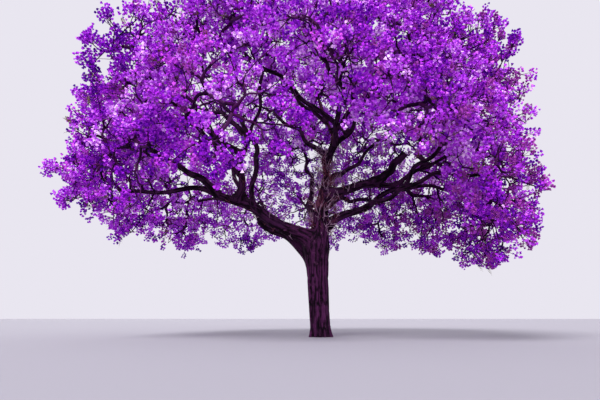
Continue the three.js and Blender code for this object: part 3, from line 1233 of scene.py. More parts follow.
@dataclass
class BoughPiece:
    """One bough's bark, from its collar to its tip."""

    skeleton: Skeleton
    limb: Limb
    finish: BarkFinish
    seed: int
    relief: BarkRelief = field(default_factory=BarkRelief)
    side_width: float = 0.036
    fewest_sides: int = 14
    most_sides: int = 36
    ring_step: float = 0.075
    fewest_rings: int = 12
    foot_rings: int = 24
    lumps: float = 0.09
    lump_size: float = 0.45
    lump_seed: int = 5
    hidden_foot: float = 1.3
    flare: float = 0.75
    flare_reach: float = 0.75
    flare_samples: int = 240
    tip_rings: tuple[tuple[float, float], ...] = ((0.45, 0.85), (0.8, 0.5), (0.92, 0.15))
    callus_rings: tuple[tuple[float, float], ...] = (
        (0.02, 1.07),
        (0.045, 1.1),
        (0.065, 1.02),
        (0.062, 0.92),
        (0.05, 0.86),
        (0.05, 0.05),
    )

    def build(self, node: str) -> int:
        """Makes the bough's piece.

        Args:
            node: The node that it replaces.

        Returns:
            Its number of triangles.
        """
        limb = self.limb
        on_trunk = limb.carrier == "trunk"
        first = self.hidden_foot / limb.length if on_trunk else 0.0
        rings = max(self.fewest_rings, round((1 - first) * limb.length / self.ring_step))
        t = np.linspace(first, 1, rings)
        whole = np.concatenate([np.linspace(0, first, self.foot_rings)[:-1], t]) if on_trunk else t
        centre, heading, u, v = (a[-rings:] for a in limb.frames(whole))
        sides = FULL_TURN * limb.base / self.side_width
        sides = int(np.clip(sides, self.fewest_sides, self.most_sides))
        turn = np.broadcast_to(circle(sides), (rings, sides))
        way = spokes(u, v, turn)
        radius = np.repeat(limb.radius(t)[:, None], sides, 1)
        along = np.repeat((t * limb.length)[:, None], sides, 1)
        surface = centre[:, None] + way * radius[..., None]
        lump = noise(surface / self.lump_size, self.seed + self.lump_seed)
        knots = sum(knot.swelling(limb, along, way) for knot in KNOTS if knot.limb == limb.name)
        radius = radius * (1 + self.lumps * (2 * lump - 1) + knots)
        if not on_trunk:
            radius = radius * self._flare(centre, way)
        crest = self.relief.crest(turn, along, radius, self.seed)
        points = centre[:, None] + way * (radius + self.relief.height(crest, radius))[..., None]
        if limb.name == STUB[0]:
            return self._sawn(points, crest, heading[-1], node)
        points = np.concatenate([points, self._tip(points[-1], centre[-1], heading[-1])])
        crest = np.concatenate([crest, np.repeat(crest[-1:], len(points) - rings, 0)])
        shape = Shape()
        shape.add(points, closed_faces(len(points), sides), 0, crest)
        piece = shape.build("bark_" + limb.name, [self.finish.material()], True)
        return dress(piece, "bark", [node])

    def _flare(self, centre: Array, way: Array) -> Array:
        """How the foot of a limb spreads along the limb that carries it.

        Args:
            centre: The rings' middles.
            way: The direction of each point from its ring's middle.

        Returns:
            A factor for each point's radius.
        """
        carrier = self.skeleton.limbs[self.limb.carrier]
        t = np.linspace(0, 1, self.flare_samples)
        line, heading, radius = carrier.point(t), carrier.heading(t), carrier.radius(t)
        apart = np.linalg.norm(centre[:, None] - line[None], axis=-1)
        near = apart.argmin(1)
        gap = np.maximum(apart.min(1) - radius[near], 0)
        close = np.exp(-gap / (self.flare_reach * self.limb.base))
        along = np.einsum("rsk,rk->rs", way, heading[near]) ** 2
        return 1 + self.flare * close[:, None] * along

    def _tip(self, ring: Array, centre: Array, heading: Array) -> Array:
        """Rings that round off the bough's tip, inside the branch that goes on from it.

        Args:
            ring: The bough's last ring.
            centre: Its middle.
            heading: The bough's direction there.

        Returns:
            The points of the rings.
        """
        off = ring - centre
        out = np.linalg.norm(off, axis=-1).mean()
        return np.stack([centre + heading * on * out + off * share for on, share in self.tip_rings])

    def _sawn(self, points: Array, crest: Array, heading: Array, node: str) -> int:
        """Makes a limb that ends in a sawn face with a callus rolled round it.

        Args:
            points: The rings of the limb.
            crest: How far up a ridge each point lies.
            heading: The direction at its end.
            node: The node that it replaces.

        Returns:
            Its number of triangles.
        """
        sides = points.shape[1]
        middle = points[-1].mean(0)
        off = points[-1] - middle
        closing = [middle + heading * on + off * share for on, share in self.callus_rings]
        points = np.concatenate([points, np.stack(closing)])
        crest = np.concatenate([crest, np.repeat(crest[-1:], len(closing), 0)])
        crest[-2:] = np.array([1.0, 0.0])[:, None]
        walls, foot, face = closed_faces(len(points), sides)
        tint = np.zeros(len(walls), int)
        tint[-sides:] = 1
        shape = Shape()
        shape.add(points, [walls, foot], tint, crest)
        shape.faces.append(face)
        shape.tints.append(np.ones(1, int))
        materials = [self.finish.material(), SawnFinish().material()]
        return dress(shape.build("bark_" + self.limb.name, materials, True), "bark", [node])


# The crown


@dataclass(frozen=True)
class CrownForm:
    """The broad dome of the crown round its hollow, which droops lower on the right."""

    middle: tuple[float, float, float] = (-0.7, -0.4, 5.4)
    spread: tuple[float, float] = (8.8, 8.2)
    rise: float = 7.8
    hang: float = 2.1
    power: float = 3.1
    hollow: float = 0.58
    droop_from: float = 2.5
    droop_to: float = 6.5
    droop_hang: float = 1.7
    droop_mass: float = 1.2
    mass_out: float = 1.25
    mass_radius: float = 2.85

    def share(self, p: Array, hollow: bool = False) -> Array:
        """How far out in the crown points lie: 1 is its outer surface.

        Args:
            p: The points.
            hollow: Whether the depth below the crown's middle is left out, as for its hollow.

        Returns:
            A number for each point.
        """
        hang = self.hang + self.droop_hang * smoothstep(p[..., 0], self.droop_from, self.droop_to)
        off = np.abs(p - np.array(self.middle))
        drop = p[..., 2] - self.middle[2]
        below = np.zeros_like(drop) if hollow else -drop / hang
        tall = np.where(drop > 0, drop / self.rise, below)
        wide = sum((off[..., k] / self.spread[k]) ** self.power for k in range(2))
        return (wide + tall**self.power) ** (1 / self.power)

    def middles(self, skeleton: Skeleton) -> Array:
        """The middle of each bough's mass of blossom.

        Args:
            skeleton: The boughs.

        Returns:
            A point for each bough.
        """
        tips = np.stack([limb.tip for limb in skeleton.boughs()])
        hub = UP * skeleton.trunk.fork_height
        middles = tips + self.mass_out * unit(tips - hub)
        middles[:, 2] -= self.droop_mass * smoothstep(tips[:, 0], self.droop_from, self.droop_to)
        return middles


@dataclass(frozen=True)
class Glade:
    """A thinly flowered part of the crown, through which the boughs show."""

    middle: tuple[float, float, float]
    reach: tuple[float, float, float]
    thinning: float
    edge: float = 0.4

    def spread(self, p: Array) -> Array:
        """How much further apart the tufts stand at each point, as a share of their spacing."""
        inward = 1 - np.linalg.norm((p - np.array(self.middle)) / np.array(self.reach), axis=-1)
        return self.thinning * smoothstep(inward, 0, self.edge)


GLADES = (
    Glade((-1.5, -6.0, 6.7), (3.0, 3.9, 2.7), 0.65),
    Glade((-5.6, -4.2, 4.75), (2.1, 4.8, 1.1), 0.9),
    Glade((-2.6, -5.2, 9.0), (1.5, 2.9, 1.2), 0.75),
)


@dataclass
class Tufts:
    """The places where the twigs end in bloom: a loose scatter with lobes, bays and windows of sky."""

    form: CrownForm
    skeleton: Skeleton
    tries: int = 60000
    outer_spacing: float = 0.48
    inner_spacing: float = 0.52
    outermost: float = 0.975
    lobes: float = 0.12
    lobe_size: float = 1.4
    bays: float = 0.12
    bay_size: float = 3.2
    bay_from: float = 0.35
    bay_whole: float = 0.8
    hollow_lobes: float = 0.14
    hollow_shift: float = 9.0
    windows: int = 30
    least_window: float = 0.35
    most_window: float = 0.7
    inside: float = 0.2
    bare: float = 0.42
    bare_to: float = 0.8
    bare_places: int = 16
    cell: float = 1.0

    def __post_init__(self) -> None:
        """Scatters the tufts and gives each to the nearest mass."""
        rng = np.random.default_rng(Seed.TUFTS)
        low = np.array(CAD_BOX[0]) + self.inside
        high = np.array(CAD_BOX[1]) - self.inside
        p = low + rng.random((self.tries, 3)) * (high - low)
        middles = self.form.middles(self.skeleton)
        apart = np.linalg.norm(p[:, None] - middles[None], axis=-1)
        share = self.form.share(p)
        edge = self.outermost - self.lobes * noise(p / self.lobe_size, Seed.LOBES)
        bay = smoothstep(noise(p / self.bay_size, Seed.BAYS), self.bay_from, self.bay_whole)
        edge -= self.bays * bay
        inner = noise(p / self.lobe_size + self.hollow_shift, Seed.LOBES)
        inner = self.form.hollow + self.hollow_lobes * inner
        kept = (share < edge) & (self.form.share(p, True) > inner)
        kept &= apart.min(1) < self.form.mass_radius
        p, apart, share = p[kept], apart[kept], share[kept]
        window = p[rng.integers(len(p), size=self.windows)]
        width = rng.uniform(self.least_window, self.most_window, self.windows)
        clear = (np.linalg.norm(p[:, None] - window[None], axis=-1) > width).all(1)
        p, apart, share = p[clear], apart[clear], share[clear]
        out = np.clip((share - self.form.hollow) / (1 - self.form.hollow), 0, 1)
        spacing = self.inner_spacing + (self.outer_spacing - self.inner_spacing) * out
        spacing *= 1 + sum(glade.spread(p) for glade in GLADES)
        chosen = self._scatter(p, np.minimum(spacing, self.cell))
        chosen = chosen[self._off_boughs(p[chosen])]
        self.places: Array = p[chosen]
        self.out: Array = out[chosen]
        self.mass: Array = apart[chosen].argmin(1)

    def _off_boughs(self, p: Array) -> Array:
        """Whether points stand clear of the bare stretches of all the boughs.

        Args:
            p: The points.

        Returns:
            True or False for each point.
        """
        t = np.linspace(0, self.bare_to, self.bare_places)
        wood = np.concatenate([limb.point(t) for limb in self.skeleton.limbs.values()])
        return np.linalg.norm(p[:, None] - wood[None], axis=-1).min(1) > self.bare

    def _scatter(self, p: Array, spacing: Array) -> Array:
        """Takes points in turn that keep their spacing from those before them.

        Args:
            p: The points to choose from.
            spacing: The least distance for each, at most the width of a cell.

        Returns:
            The numbers of the chosen points.
        """
        cells: dict[tuple[int, ...], list[int]] = {}
        chosen = []
        near = list(itertools.product((-1, 0, 1), repeat=3))
        for i, (a, b, c) in enumerate(np.floor(p / self.cell).astype(int).tolist()):
            around = [j for x, y, z in near for j in cells.get((a + x, b + y, c + z), ())]
            if around and ((p[around] - p[i]) ** 2).sum(-1).min() < spacing[i] ** 2:
                continue
            cells.setdefault((a, b, c), []).append(i)
            chosen.append(i)
        return np.array(chosen)


@dataclass(frozen=True, eq=False)
class Branch:
    """One bowed branch between two forks, or from a fork out to a tuft."""

    foot: Array
    bend: Array
    head: Array
    thick: float
    thin: float
    mass: int


@dataclass
class Twigs:
    """Branches that part again and again, from the boughs' tips and flanks out to every tuft."""

    skeleton: Skeleton
    tufts: Tufts
    finest: float = 0.011
    pipe_power: float = 0.4
    panicles_a_tuft: float = 5.0
    fork_share: float = 0.45
    thirds: float = 0.3
    rounds: int = 3
    crooked: float = 0.12
    bow: float = 0.42
    wavy: float = 0.06
    wave_turns: float = 2.6
    wave_shift: float = 40.0
    first_lean: float = 0.5
    onward: float = 0.75
    slimmer: float = 0.92
    last_taper: float = 0.8
    flanks: tuple[float, ...] = (0.42, 0.54, 0.66, 0.78, 0.89)
    flank_cost: float = 0.7
    turn_cost: float = 0.9
    kinds: tuple[tuple[float, int, int], ...] = ((0.034, 6, 6), (0.0215, 5, 4), (0.0, 3, 3))
    shade_cycle: int = 7

    def __post_init__(self) -> None:
        """Grows every branch and keeps where each tuft's last twig heads."""
        self.rng = np.random.default_rng(Seed.TWIGS)
        self.branches: list[Branch] = []
        self.heading: Array = np.zeros_like(self.tufts.places)
        for mass, limb in enumerate(self.skeleton.boughs()):
            members = np.flatnonzero(self.tufts.mass == mass)
            if len(members):
                self._feed(limb, members, mass)

    def thickness(self, tufts: int) -> float:
        """The radius of a branch that feeds so many tufts."""
        return self.finest * (tufts * self.panicles_a_tuft) ** self.pipe_power

    def _feed(self, limb: Limb, members: Array, mass: int) -> None:
        """Grows branches from a bough to the tufts of its mass.

        Args:
            limb: The bough.
            members: The numbers of its tufts.
            mass: The number of its mass.
        """
        ts = np.array([*self.flanks, 1.0])
        foot, heading = limb.point(ts), limb.heading(ts)
        off = self.tufts.places[members][:, None] - foot[None]
        far = np.linalg.norm(off, axis=-1)
        back = 1 - np.einsum("mfk,fk->mf", off / far[..., None], heading)
        cost = far + self.turn_cost * back + np.where(ts < 1, self.flank_cost, 0)
        source = cost.argmin(1)
        for s, t in enumerate(ts):
            group = members[source == s]
            if not len(group):
                continue
            way = unit(self.tufts.places[group].mean(0) - foot[s])
            lean = heading[s] if t == 1 else unit(self.first_lean * heading[s] + way)
            thick = min(self.thickness(len(group)), self.slimmer * float(limb.radius(t)))
            self._grow(foot[s], lean, group, thick, mass)

    def _grow(self, foot: Array, heading: Array, group: Array, thick: float, mass: int) -> None:
        """Grows one branch and all that parts from it.

        Args:
            foot: Where it starts.
            heading: The way that it starts out.
            group: The numbers of the tufts that it feeds.
            thick: Its radius at its foot.
            mass: The number of its mass.
        """
        waiting = [(foot, heading, group, thick)]
        while waiting:
            foot, heading, group, thick = waiting.pop()
            middle = self.tufts.places[group].mean(0)
            head = middle if len(group) == 1 else foot + (middle - foot) * self.fork_share
            reach = float(np.linalg.norm(head - foot))
            aside = self.rng.normal(size=3) * self.crooked * reach
            bend = foot + heading * self.bow * reach + aside
            thin = min(thick, self.thickness(len(group))) * (self.last_taper if len(group) == 1 else 1)
            self.branches.append(Branch(foot, bend, head, thick, thin, mass))
            onward = unit(head - bend)
            if len(group) == 1:
                self.heading[group[0]] = onward
                continue
            for part in self._part(group):
                way = unit(self.tufts.places[part].mean(0) - head)
                lean = unit(self.onward * onward + way)
                waiting.append((head, lean, part, min(thin, self.thickness(len(part)))))

    def _part(self, group: Array) -> list[Array]:
        """Parts a group of tufts in two or three by nearness.

        Args:
            group: The numbers of the tufts.

        Returns:
            The smaller groups.
        """
        places = self.tufts.places[group]
        count = min(len(group), 3 if self.rng.random() < self.thirds else 2)
        far = np.linalg.norm(places - places.mean(0), axis=-1)
        heads = [places[far.argmax()]]
        while len(heads) < count:
            heads.append(places[self._apart(places, heads).min(0).argmax()])
        for _ in range(self.rounds):
            nearest = self._apart(places, heads).argmin(0)
            heads = [places[nearest == k].mean(0) for k in np.unique(nearest)]
        nearest = self._apart(places, heads).argmin(0)
        return [group[nearest == k] for k in np.unique(nearest)]

    @staticmethod
    def _apart(places: Array, heads: list[Array]) -> Array:
        """How far all the places are from each head."""
        return np.stack([np.linalg.norm(places - head, axis=-1) for head in heads])

    def add_to(self, shape: Shape, masses: set[int]) -> None:
        """Adds the branches of some masses to a shape.

        Args:
            shape: The shape that they are added to.
            masses: The numbers of the masses.
        """
        mine = [branch for branch in self.branches if branch.mass in masses]
        foot = np.stack([branch.foot for branch in mine])
        bend = np.stack([branch.bend for branch in mine])
        head = np.stack([branch.head for branch in mine])
        thick = np.array([branch.thick for branch in mine])
        thin = np.array([branch.thin for branch in mine])
        upper = np.inf
        for least, sides, segments in self.kinds:
            chosen = (thick >= least) & (thick < upper)
            upper = least
            if not chosen.any():
                continue
            t = np.linspace(0, 1, segments + 1)
            a, b, c = (ends[chosen][:, None] for ends in (foot, bend, head))
            s = t[None, :, None]
            path = (1 - s) ** 2 * a + 2 * s * (1 - s) * b + s * s * c
            length = np.linalg.norm(c - a, axis=-1)
            base, tip = thick[chosen][:, None], thin[chosen][:, None]
            wave = np.sin(self.wave_turns * math.pi * t[None] + self.wave_shift * base)
            wave = np.sin(math.pi * t) * wave
            side = square_to(unit(c[:, 0] - a[:, 0]))[0][:, None]
            path = path + side * (self.wavy * length * wave)[..., None]
            points, faces = tubes(path, base * (1 - t) + tip * t, sides)
            shade = np.arange(len(path)) % self.shade_cycle % len(TwigBark)
            shape.add(points, faces, np.repeat(shade, sides * segments))


@dataclass
class Panicles:
    """The short twigs of every tuft and the panicle of flowers at the end of each."""

    form: CrownForm
    tufts: Tufts
    twigs: Twigs
    fewest: float = 3.5
    most: float = 5.5
    shortest: float = 0.08
    longest: float = 0.36
    length: float = 0.3
    smallest: float = 0.75
    largest: float = 1.2
    onward: float = 0.4
    outward: float = 0.5
    upward: float = 0.35
    stray: float = 0.8
    proud: float = 0.12
    drift_size: float = 0.9
    sweep_size: float = 2.6
    pink_size: float = 1.9
    pink_shift: float = 3.0
    clump_size: float = 1.0
    clump_from: float = 0.25
    clump_whole: float = 0.7
    sparsest: float = 0.35
    denser: float = 1.2
    axis_onward: float = 0.7
    axis_upward: float = 0.3
    axis_stray: float = 0.35
    sweep: float = 0.6
    drift_middle: float = 0.8
    drift_steps: float = 4.0
    # Tints run paler towards the crown's inside: painted light for the daylight through its shaded
    # petals
    inner_level: float = 3.75
    outer_drop: float = 1.15
    palest_level: float = 4.4
    level_stray: float = 0.7
    right_from: float = 0.5
    right_to: float = 6.5
    right_drop: float = 0.5
    # Tints run darker on the crown's low fringe: painted shade
    fringe_low: float = 4.6
    fringe_high: float = 7.2
    fringe_drop: float = 1.0
    pink_from: float = 0.66
    pink_share: float = 0.25
    mauve_share: float = 0.03
    right_mauve: float = 0.24

    def __post_init__(self) -> None:
        """Sets out every panicle."""
        rng = np.random.default_rng(Seed.PANICLES)
        hubs = self.tufts.places
        count = np.round(self.fewest + (self.most - self.fewest) * self.tufts.out)
        spread = noise(hubs / self.clump_size, Seed.CLUMPS)
        clump = smoothstep(spread, self.clump_from, self.clump_whole)
        count *= self.sparsest + self.denser * clump
        count = np.maximum(np.round(count + rng.integers(-1, 2, len(hubs))), 1).astype(int)
        self.tuft: Array = np.repeat(np.arange(len(hubs)), count)
        hub = hubs[self.tuft]
        outward = unit(hub - np.array(self.form.middle) + UP)
        way = self.onward * self.twigs.heading[self.tuft] + self.outward * outward + self.upward * UP
        way = unit(way + self.stray * unit(rng.normal(size=hub.shape)))
        reach = rng.uniform(self.shortest, self.longest, len(hub))[:, None]
        self.foot: Array = hub
        self.size: Array = rng.uniform(self.smallest, self.largest, len(hub))
        stray = self.axis_stray * unit(rng.normal(size=hub.shape))
        self.axis: Array = unit(self.axis_onward * way + self.axis_upward * UP + stray)
        place = hub + way * reach
        tip = place + self.axis * (self.length * self.size)[:, None]
        low, high = (np.array(corner) for corner in CAD_BOX)
        clipped = np.clip(tip, low - self.proud, high + self.proud)
        self.place: Array = place + clipped - tip
        self.mass: Array = self.tufts.mass[self.tuft]
        self.tint: Array = self._tints(rng)

    def _tints(self, rng: np.random.Generator) -> Array:
        """Deals out the tints, in drifts of deep and pale, redder to the right, paler inside as painted
        light and darker low down as painted shade.

        Args:
            rng: The seeded numbers.

        Returns:
            The number of a petal tint for each panicle.
        """
        sweep = noise(self.place / self.sweep_size, Seed.SWEEPS)
        drift = noise(self.place / self.drift_size, Seed.DRIFTS) + self.sweep * sweep
        # Tints fall towards the outside, so the inner panicles stand paler: painted light on the
        # crown's shaded inside
        level = self.inner_level + self.drift_steps * (drift - self.drift_middle)
        level = np.minimum(level - self.outer_drop * self.tufts.out[self.tuft], self.palest_level)
        level += rng.normal(0, self.level_stray, len(drift))
        right = smoothstep(self.place[:, 0], self.right_from, self.right_to)
        # Darker low down: painted shade on the low fringe of the crown
        low = smoothstep(-self.place[:, 2], -self.fringe_high, -self.fringe_low)
        level -= self.right_drop * right + self.fringe_drop * low
        tint = np.clip(np.round(level), 0, LADDER - 1).astype(int)
        draw = rng.random(len(tint))
        pink = noise(self.place / self.pink_size + self.pink_shift, Seed.PINKS)
        tint = np.where((pink > self.pink_from) & (draw < self.pink_share), PINK_TINT, tint)
        return np.where(draw > 1 - self.right_mauve * right - self.mauve_share, MAUVE_TINT, tint)


@dataclass
class Blossom:
    """Nodding trumpets of five lobes, set round the axis of each panicle."""

    panicles: Panicles
    flowers: int = 10
    spare: int = 2
    trumpet: float = 0.075
    mouth: float = 0.043
    lobes: int = 5
    width: float = 0.1
    widest: float = 1.15
    narrowing: float = 0.75
    stalk: float = 0.45
    forward: float = 0.4
    nod: float = 0.3
    stray: float = 0.45
    smallest: float = 0.75
    largest: float = 1.22
    least_lobe: float = 0.82
    most_lobe: float = 1.15
    changed: float = 0.85
    fuller: float = 0.4

    def __post_init__(self) -> None:
        """Sets out every flower."""
        rng = np.random.default_rng(Seed.BLOSSOM)
        p = self.panicles
        spare = rng.integers(-self.spare, self.spare + 1, len(p.size))
        count = np.round(self.flowers * p.size).astype(int) + spare
        which = np.repeat(np.arange(len(count)), count)
        order = np.arange(len(which)) - np.repeat(np.cumsum(count) - count, count)
        along = (order + 0.5) / count[which]
        u, v = square_to(p.axis)
        turn = order * GOLDEN_ANGLE + rng.uniform(0, FULL_TURN, len(count))[which]
        spoke = spokes(u[which], v[which], turn)
        size = p.size[which]
        wide = self.width * size * (self.widest - self.narrowing * along)
        stem = p.place[which] + p.axis[which] * (along * p.length * size)[:, None]
        self.foot: Array = stem + spoke * (self.stalk * wide)[:, None]
        stray = self.stray * rng.normal(size=self.foot.shape)
        self.heading: Array = unit(spoke + self.forward * p.axis[which] - self.nod * UP + stray)
        full = 1 + self.fuller * (1 - p.tufts.out[p.tuft[which]])
        self.size: Array = rng.uniform(self.smallest, self.largest, len(which)) * full
        self.mass: Array = p.mass[which]
        self.roll: Array = rng.uniform(0, FULL_TURN, len(which))
        self.uneven: Array = rng.uniform(self.least_lobe, self.most_lobe, (len(which), self.lobes))
        tint = p.tint[which]
        shift = np.round(rng.normal(0, self.changed, len(which))).astype(int)
        self.tint: Array = np.where(tint < LADDER, np.clip(tint + shift, 0, LADDER - 1), tint)

    def build(self, region: Region, masses: set[int]) -> int:
        """Makes the blossom of a region.

        Args:
            region: The part of the crown.
            masses: The numbers of its masses.

        Returns:
            Its number of triangles.
        """
        mine = np.isin(self.mass, list(masses))
        heading, size = self.heading[mine], self.size[mine][:, None]
        turn = circle(self.lobes) + self.roll[mine][:, None]
        mouth = self.foot[mine] + heading * self.trumpet * size
        reach = (self.mouth * size * self.uneven[mine])[..., None]
        rim = mouth[:, None] + spokes(*square_to(heading), turn) * reach
        points = np.concatenate([self.foot[mine][:, None], rim], 1)
        k = np.arange(self.lobes)
        fan = np.stack([0 * k, 1 + k, 1 + (k + 1) % self.lobes], -1)
        faces = repeated(fan, len(points), self.lobes + 1)
        shape = Shape()
        shape.add(points, [faces], np.repeat(self.tint[mine], self.lobes))
        piece = shape.build("blossom_" + region.name.lower(), Petal.materials(), False)
        return dress(piece, "blossom", [f"{name}_blossom" for name in region.value])


@dataclass
class CrownWood:
    """The branches of a region and the short twigs of its tufts, as one piece."""

    twigs: Twigs
    panicles: Panicles
    finest: float = 0.012
    thinnest: float = 0.006
    into: float = 0.5
    sides: int = 3

    def build(self, region: Region, masses: set[int]) -> int:
        """Makes the twigs of a region.

        Args:
            region: The part of the crown.
            masses: The numbers of its masses.

        Returns:
            Its number of triangles.
        """
        shape = Shape()
        self.twigs.add_to(shape, masses)
        p = self.panicles
        mine = np.isin(p.mass, list(masses))
        head = p.place[mine] + p.axis[mine] * (self.into * p.length * p.size[mine])[:, None]
        path = np.stack([p.foot[mine], head], 1)
        radii = np.tile([self.finest, self.thinnest], (len(path), 1))
        points, faces = tubes(path, radii, self.sides)
        shape.add(points, faces[:1], np.repeat(np.arange(len(path)) % len(TwigBark), self.sides))
        piece = shape.build("twigs_" + region.name.lower(), TwigBark.materials(), True)
        return dress(piece, "bark", [])


@dataclass
class YoungLeaves:
    """A few fern-like young leaves that have opened among the flowers."""

    panicles: Panicles
    share: float = 0.008
    patch_share: float = 0.14
    patch_size: float = 1.7
    patch_shift: float = 17.0
    patch_from: float = 0.72
    fronds: int = 4
    pairs: int = 7
    length: float = 0.34
    shortest: float = 0.7
    longest: float = 1.15
    stray: float = 0.9
    rise: float = 0.2
    droop: float = 0.35
    leaflet: float = 0.085
    leaflet_width: float = 0.034
    leaflet_lean: float = 0.45
    leaflet_droop: float = 0.15
    swell_from: float = 0.12
    swell_span: float = 0.83
    rib: float = 0.004
    rib_tip: float = 0.4
    rib_step: int = 3
    rib_sides: int = 3

    def build(self) -> int:
        """Makes the leaves of the whole crown.

        Returns:
            Their number of triangles.
        """
        rng = np.random.default_rng(Seed.LEAVES)
        p = self.panicles
        patch = noise(p.place / self.patch_size + self.patch_shift, Seed.LEAF_PATCHES) > self.patch_from
        lone = rng.random(len(patch)) < self.share
        chosen = np.flatnonzero(lone | (patch & (rng.random(len(patch)) < self.patch_share)))
        which = np.repeat(chosen, self.fronds)
        stray = self.stray * rng.normal(size=(len(which), 3))
        way = unit(p.axis[which] + stray + self.rise * UP)[:, None]
        side = square_to(way)[0]
        along = (np.arange(self.pairs) + 1) / self.pairs
        length = self.length * rng.uniform(self.shortest, self.longest, len(which))[:, None]
        spine = p.place[which][:, None] + way * (along * length)[..., None]
        spine = spine - UP * (self.droop * length * along**2)[..., None]
        swell = np.sin(math.pi * (self.swell_from + self.swell_span * along))
        size = self.leaflet * swell[None, :, None]
        half = way * self.leaflet_width / 2
        pair = []
        for out in (side, -side):
            reach = unit(out + self.leaflet_lean * way - self.leaflet_droop * UP) * size
            middle = spine + 0.5 * reach
            pair.append(np.stack([spine, middle + half, spine + reach, middle - half], 2))
        points = np.stack(pair, 2)
        faces = np.arange(points.size // 3).reshape(-1, 4)
        shape = Shape()
        tint = rng.integers(0, len(YoungLeaf), len(which))
        shape.add(points, [faces], np.repeat(tint, self.pairs * 2))
        rib = np.concatenate([p.place[which][:, None], spine[:, self.rib_step - 1 :: self.rib_step]], 1)
        radii = np.tile(self.rib * np.linspace(1, self.rib_tip, rib.shape[1]), (len(rib), 1))
        shape.add(*tubes(rib, radii, self.rib_sides))
        return dress(shape.build("leaves", YoungLeaf.materials(), False), "blossom", [])


@dataclass
class Pods:
    """Flat round seed pods left from the year before, on short stalks."""

    panicles: Panicles
    share: float = 0.03
    radius: float = 0.034
    waves: int = 3
    waviness: float = 0.07
    thickness: float = 0.009
    sides: int = 12
    swing: float = 0.5
    stalk: float = 0.07
    stalk_into: float = 1.15
    stalk_radius: float = 0.004
    stalk_sides: int = 3

    def build(self) -> int:
        """Makes the pods of the whole crown.

        Returns:
            Their number of triangles.
        """
        rng = np.random.default_rng(Seed.PODS)
        p = self.panicles
        which = np.flatnonzero(rng.random(len(p.place)) < self.share)
        down = unit(self.swing * rng.normal(size=(len(which), 3)) - UP)
        foot = p.place[which]
        side, flat = square_to(down)
        turn = circle(self.sides)
        wavy = self.radius * (1 + self.waviness * np.cos(self.waves * turn))
        middle = foot + down * (self.stalk + self.radius)
        round_it = spokes(down, side, np.broadcast_to(turn, (len(which), self.sides)))
        rim = middle[:, None] + round_it * wavy[None, :, None]
        cheeks = middle[:, None] + flat[:, None] * self.thickness * np.array([1.0, -1.0])[:, None]
        points = np.concatenate([rim, cheeks], 1)
        k = np.arange(self.sides)
        after = (k + 1) % self.sides
        near = np.stack([k, after, 0 * k + self.sides], -1)
        away = np.stack([after, k, 0 * k + self.sides + 1], -1)
        shape = Shape()
        shape.add(points, [repeated(np.concatenate([near, away]), len(points), self.sides + 2)])
        path = np.stack([foot, foot + down * self.stalk * self.stalk_into], 1)
        shape.add(*tubes(path, np.full(path.shape[:2], self.stalk_radius), self.stalk_sides))
        return dress(shape.build("seed_pods", [POD_FINISH.material()], True), "bark", [])


@dataclass
class WaterShoots:
    """Fine bare shoots that have sprung from the bark of the leader and the limbs about it."""

    skeleton: Skeleton
    hosts: tuple[tuple[str, float, float, int], ...] = (
        ("leader", 0.03, 0.58, 240),
        ("right_high", 0.05, 0.35, 30),
        ("right", 0.06, 0.45, 22),
        ("left", 0.12, 0.5, 22),
        ("left_riser", 0.1, 0.5, 14),
    )
    shortest: float = 0.16
    longest: float = 0.6
    thick: float = 0.015
    tip: float = 0.4
    sides: int = 3
    sunk: float = 0.85
    lift: float = 0.35
    stray: float = 0.4
    side_shoots: int = 3
    side_share: float = 0.5
    side_thick: float = 0.65
    side_lift: float = 0.2
    side_stray: float = 0.9
    joints: int = 5
    rise: float = 0.35
    curl: float = 0.3
    shade_cycle: int = 5

    def build(self) -> int:
        """Makes the shoots.

        Returns:
            Their number of triangles.
        """
        rng = np.random.default_rng(Seed.SHOOTS)
        feet, ways, lengths = [], [], []
        for name, low, high, count in self.hosts:
            limb = self.skeleton.limbs[name]
            t = rng.uniform(low, high, count)
            out = spokes(*square_to(limb.heading(t)), rng.uniform(0, FULL_TURN, count))
            feet.append(limb.point(t) + out * self.sunk * limb.radius(t)[:, None])
            ways.append(unit(out + self.lift * UP + self.stray * rng.normal(size=out.shape)))
            lengths.append(rng.uniform(self.shortest, self.longest, count))
        foot, way, length = (np.concatenate(parts) for parts in (feet, ways, lengths))
        shape = Shape()
        path = self._curve(foot, way, length, rng)
        self._add(shape, path, self.thick)
        for _ in range(self.side_shoots):
            start = path[np.arange(len(path)), rng.integers(2, self.joints - 1, len(path))]
            aside = unit(way + self.side_stray * rng.normal(size=way.shape) + self.side_lift * UP)
            twig = self._curve(start, aside, self.side_share * length, rng)
            self._add(shape, twig, self.side_thick * self.thick)
        return dress(shape.build("water_shoots", ShootBark.materials(), True), "bark", [])

    def _curve(self, foot: Array, way: Array, length: Array, rng: np.random.Generator) -> Array:
        """Shoots that start along their way and turn upward, unevenly.

        Args:
            foot: Where each starts.
            way: The direction of each at its foot.
            length: How long each is.
            rng: The seeded numbers.

        Returns:
            The points of each shoot.
        """
        s = np.linspace(0, 1, self.joints)[None, :, None]
        turned = self.rise * UP + rng.normal(size=(len(foot), 1, 3)) * self.curl
        return foot[:, None] + length[:, None, None] * (way[:, None] * s + turned * s**2)

    def _add(self, shape: Shape, path: Array, thick: float) -> None:
        """Adds shoots along their paths.

        Args:
            shape: The shape that they are added to.
            path: The points of each shoot.
            thick: Their radius at the foot.
        """
        radii = np.tile(thick * np.linspace(1, self.tip, self.joints), (len(path), 1))
        shade = np.arange(len(path)) % self.shade_cycle % len(ShootBark)
        shape.add(*tubes(path, radii, self.sides), np.repeat(shade, self.sides * (self.joints - 1)))


# The studio


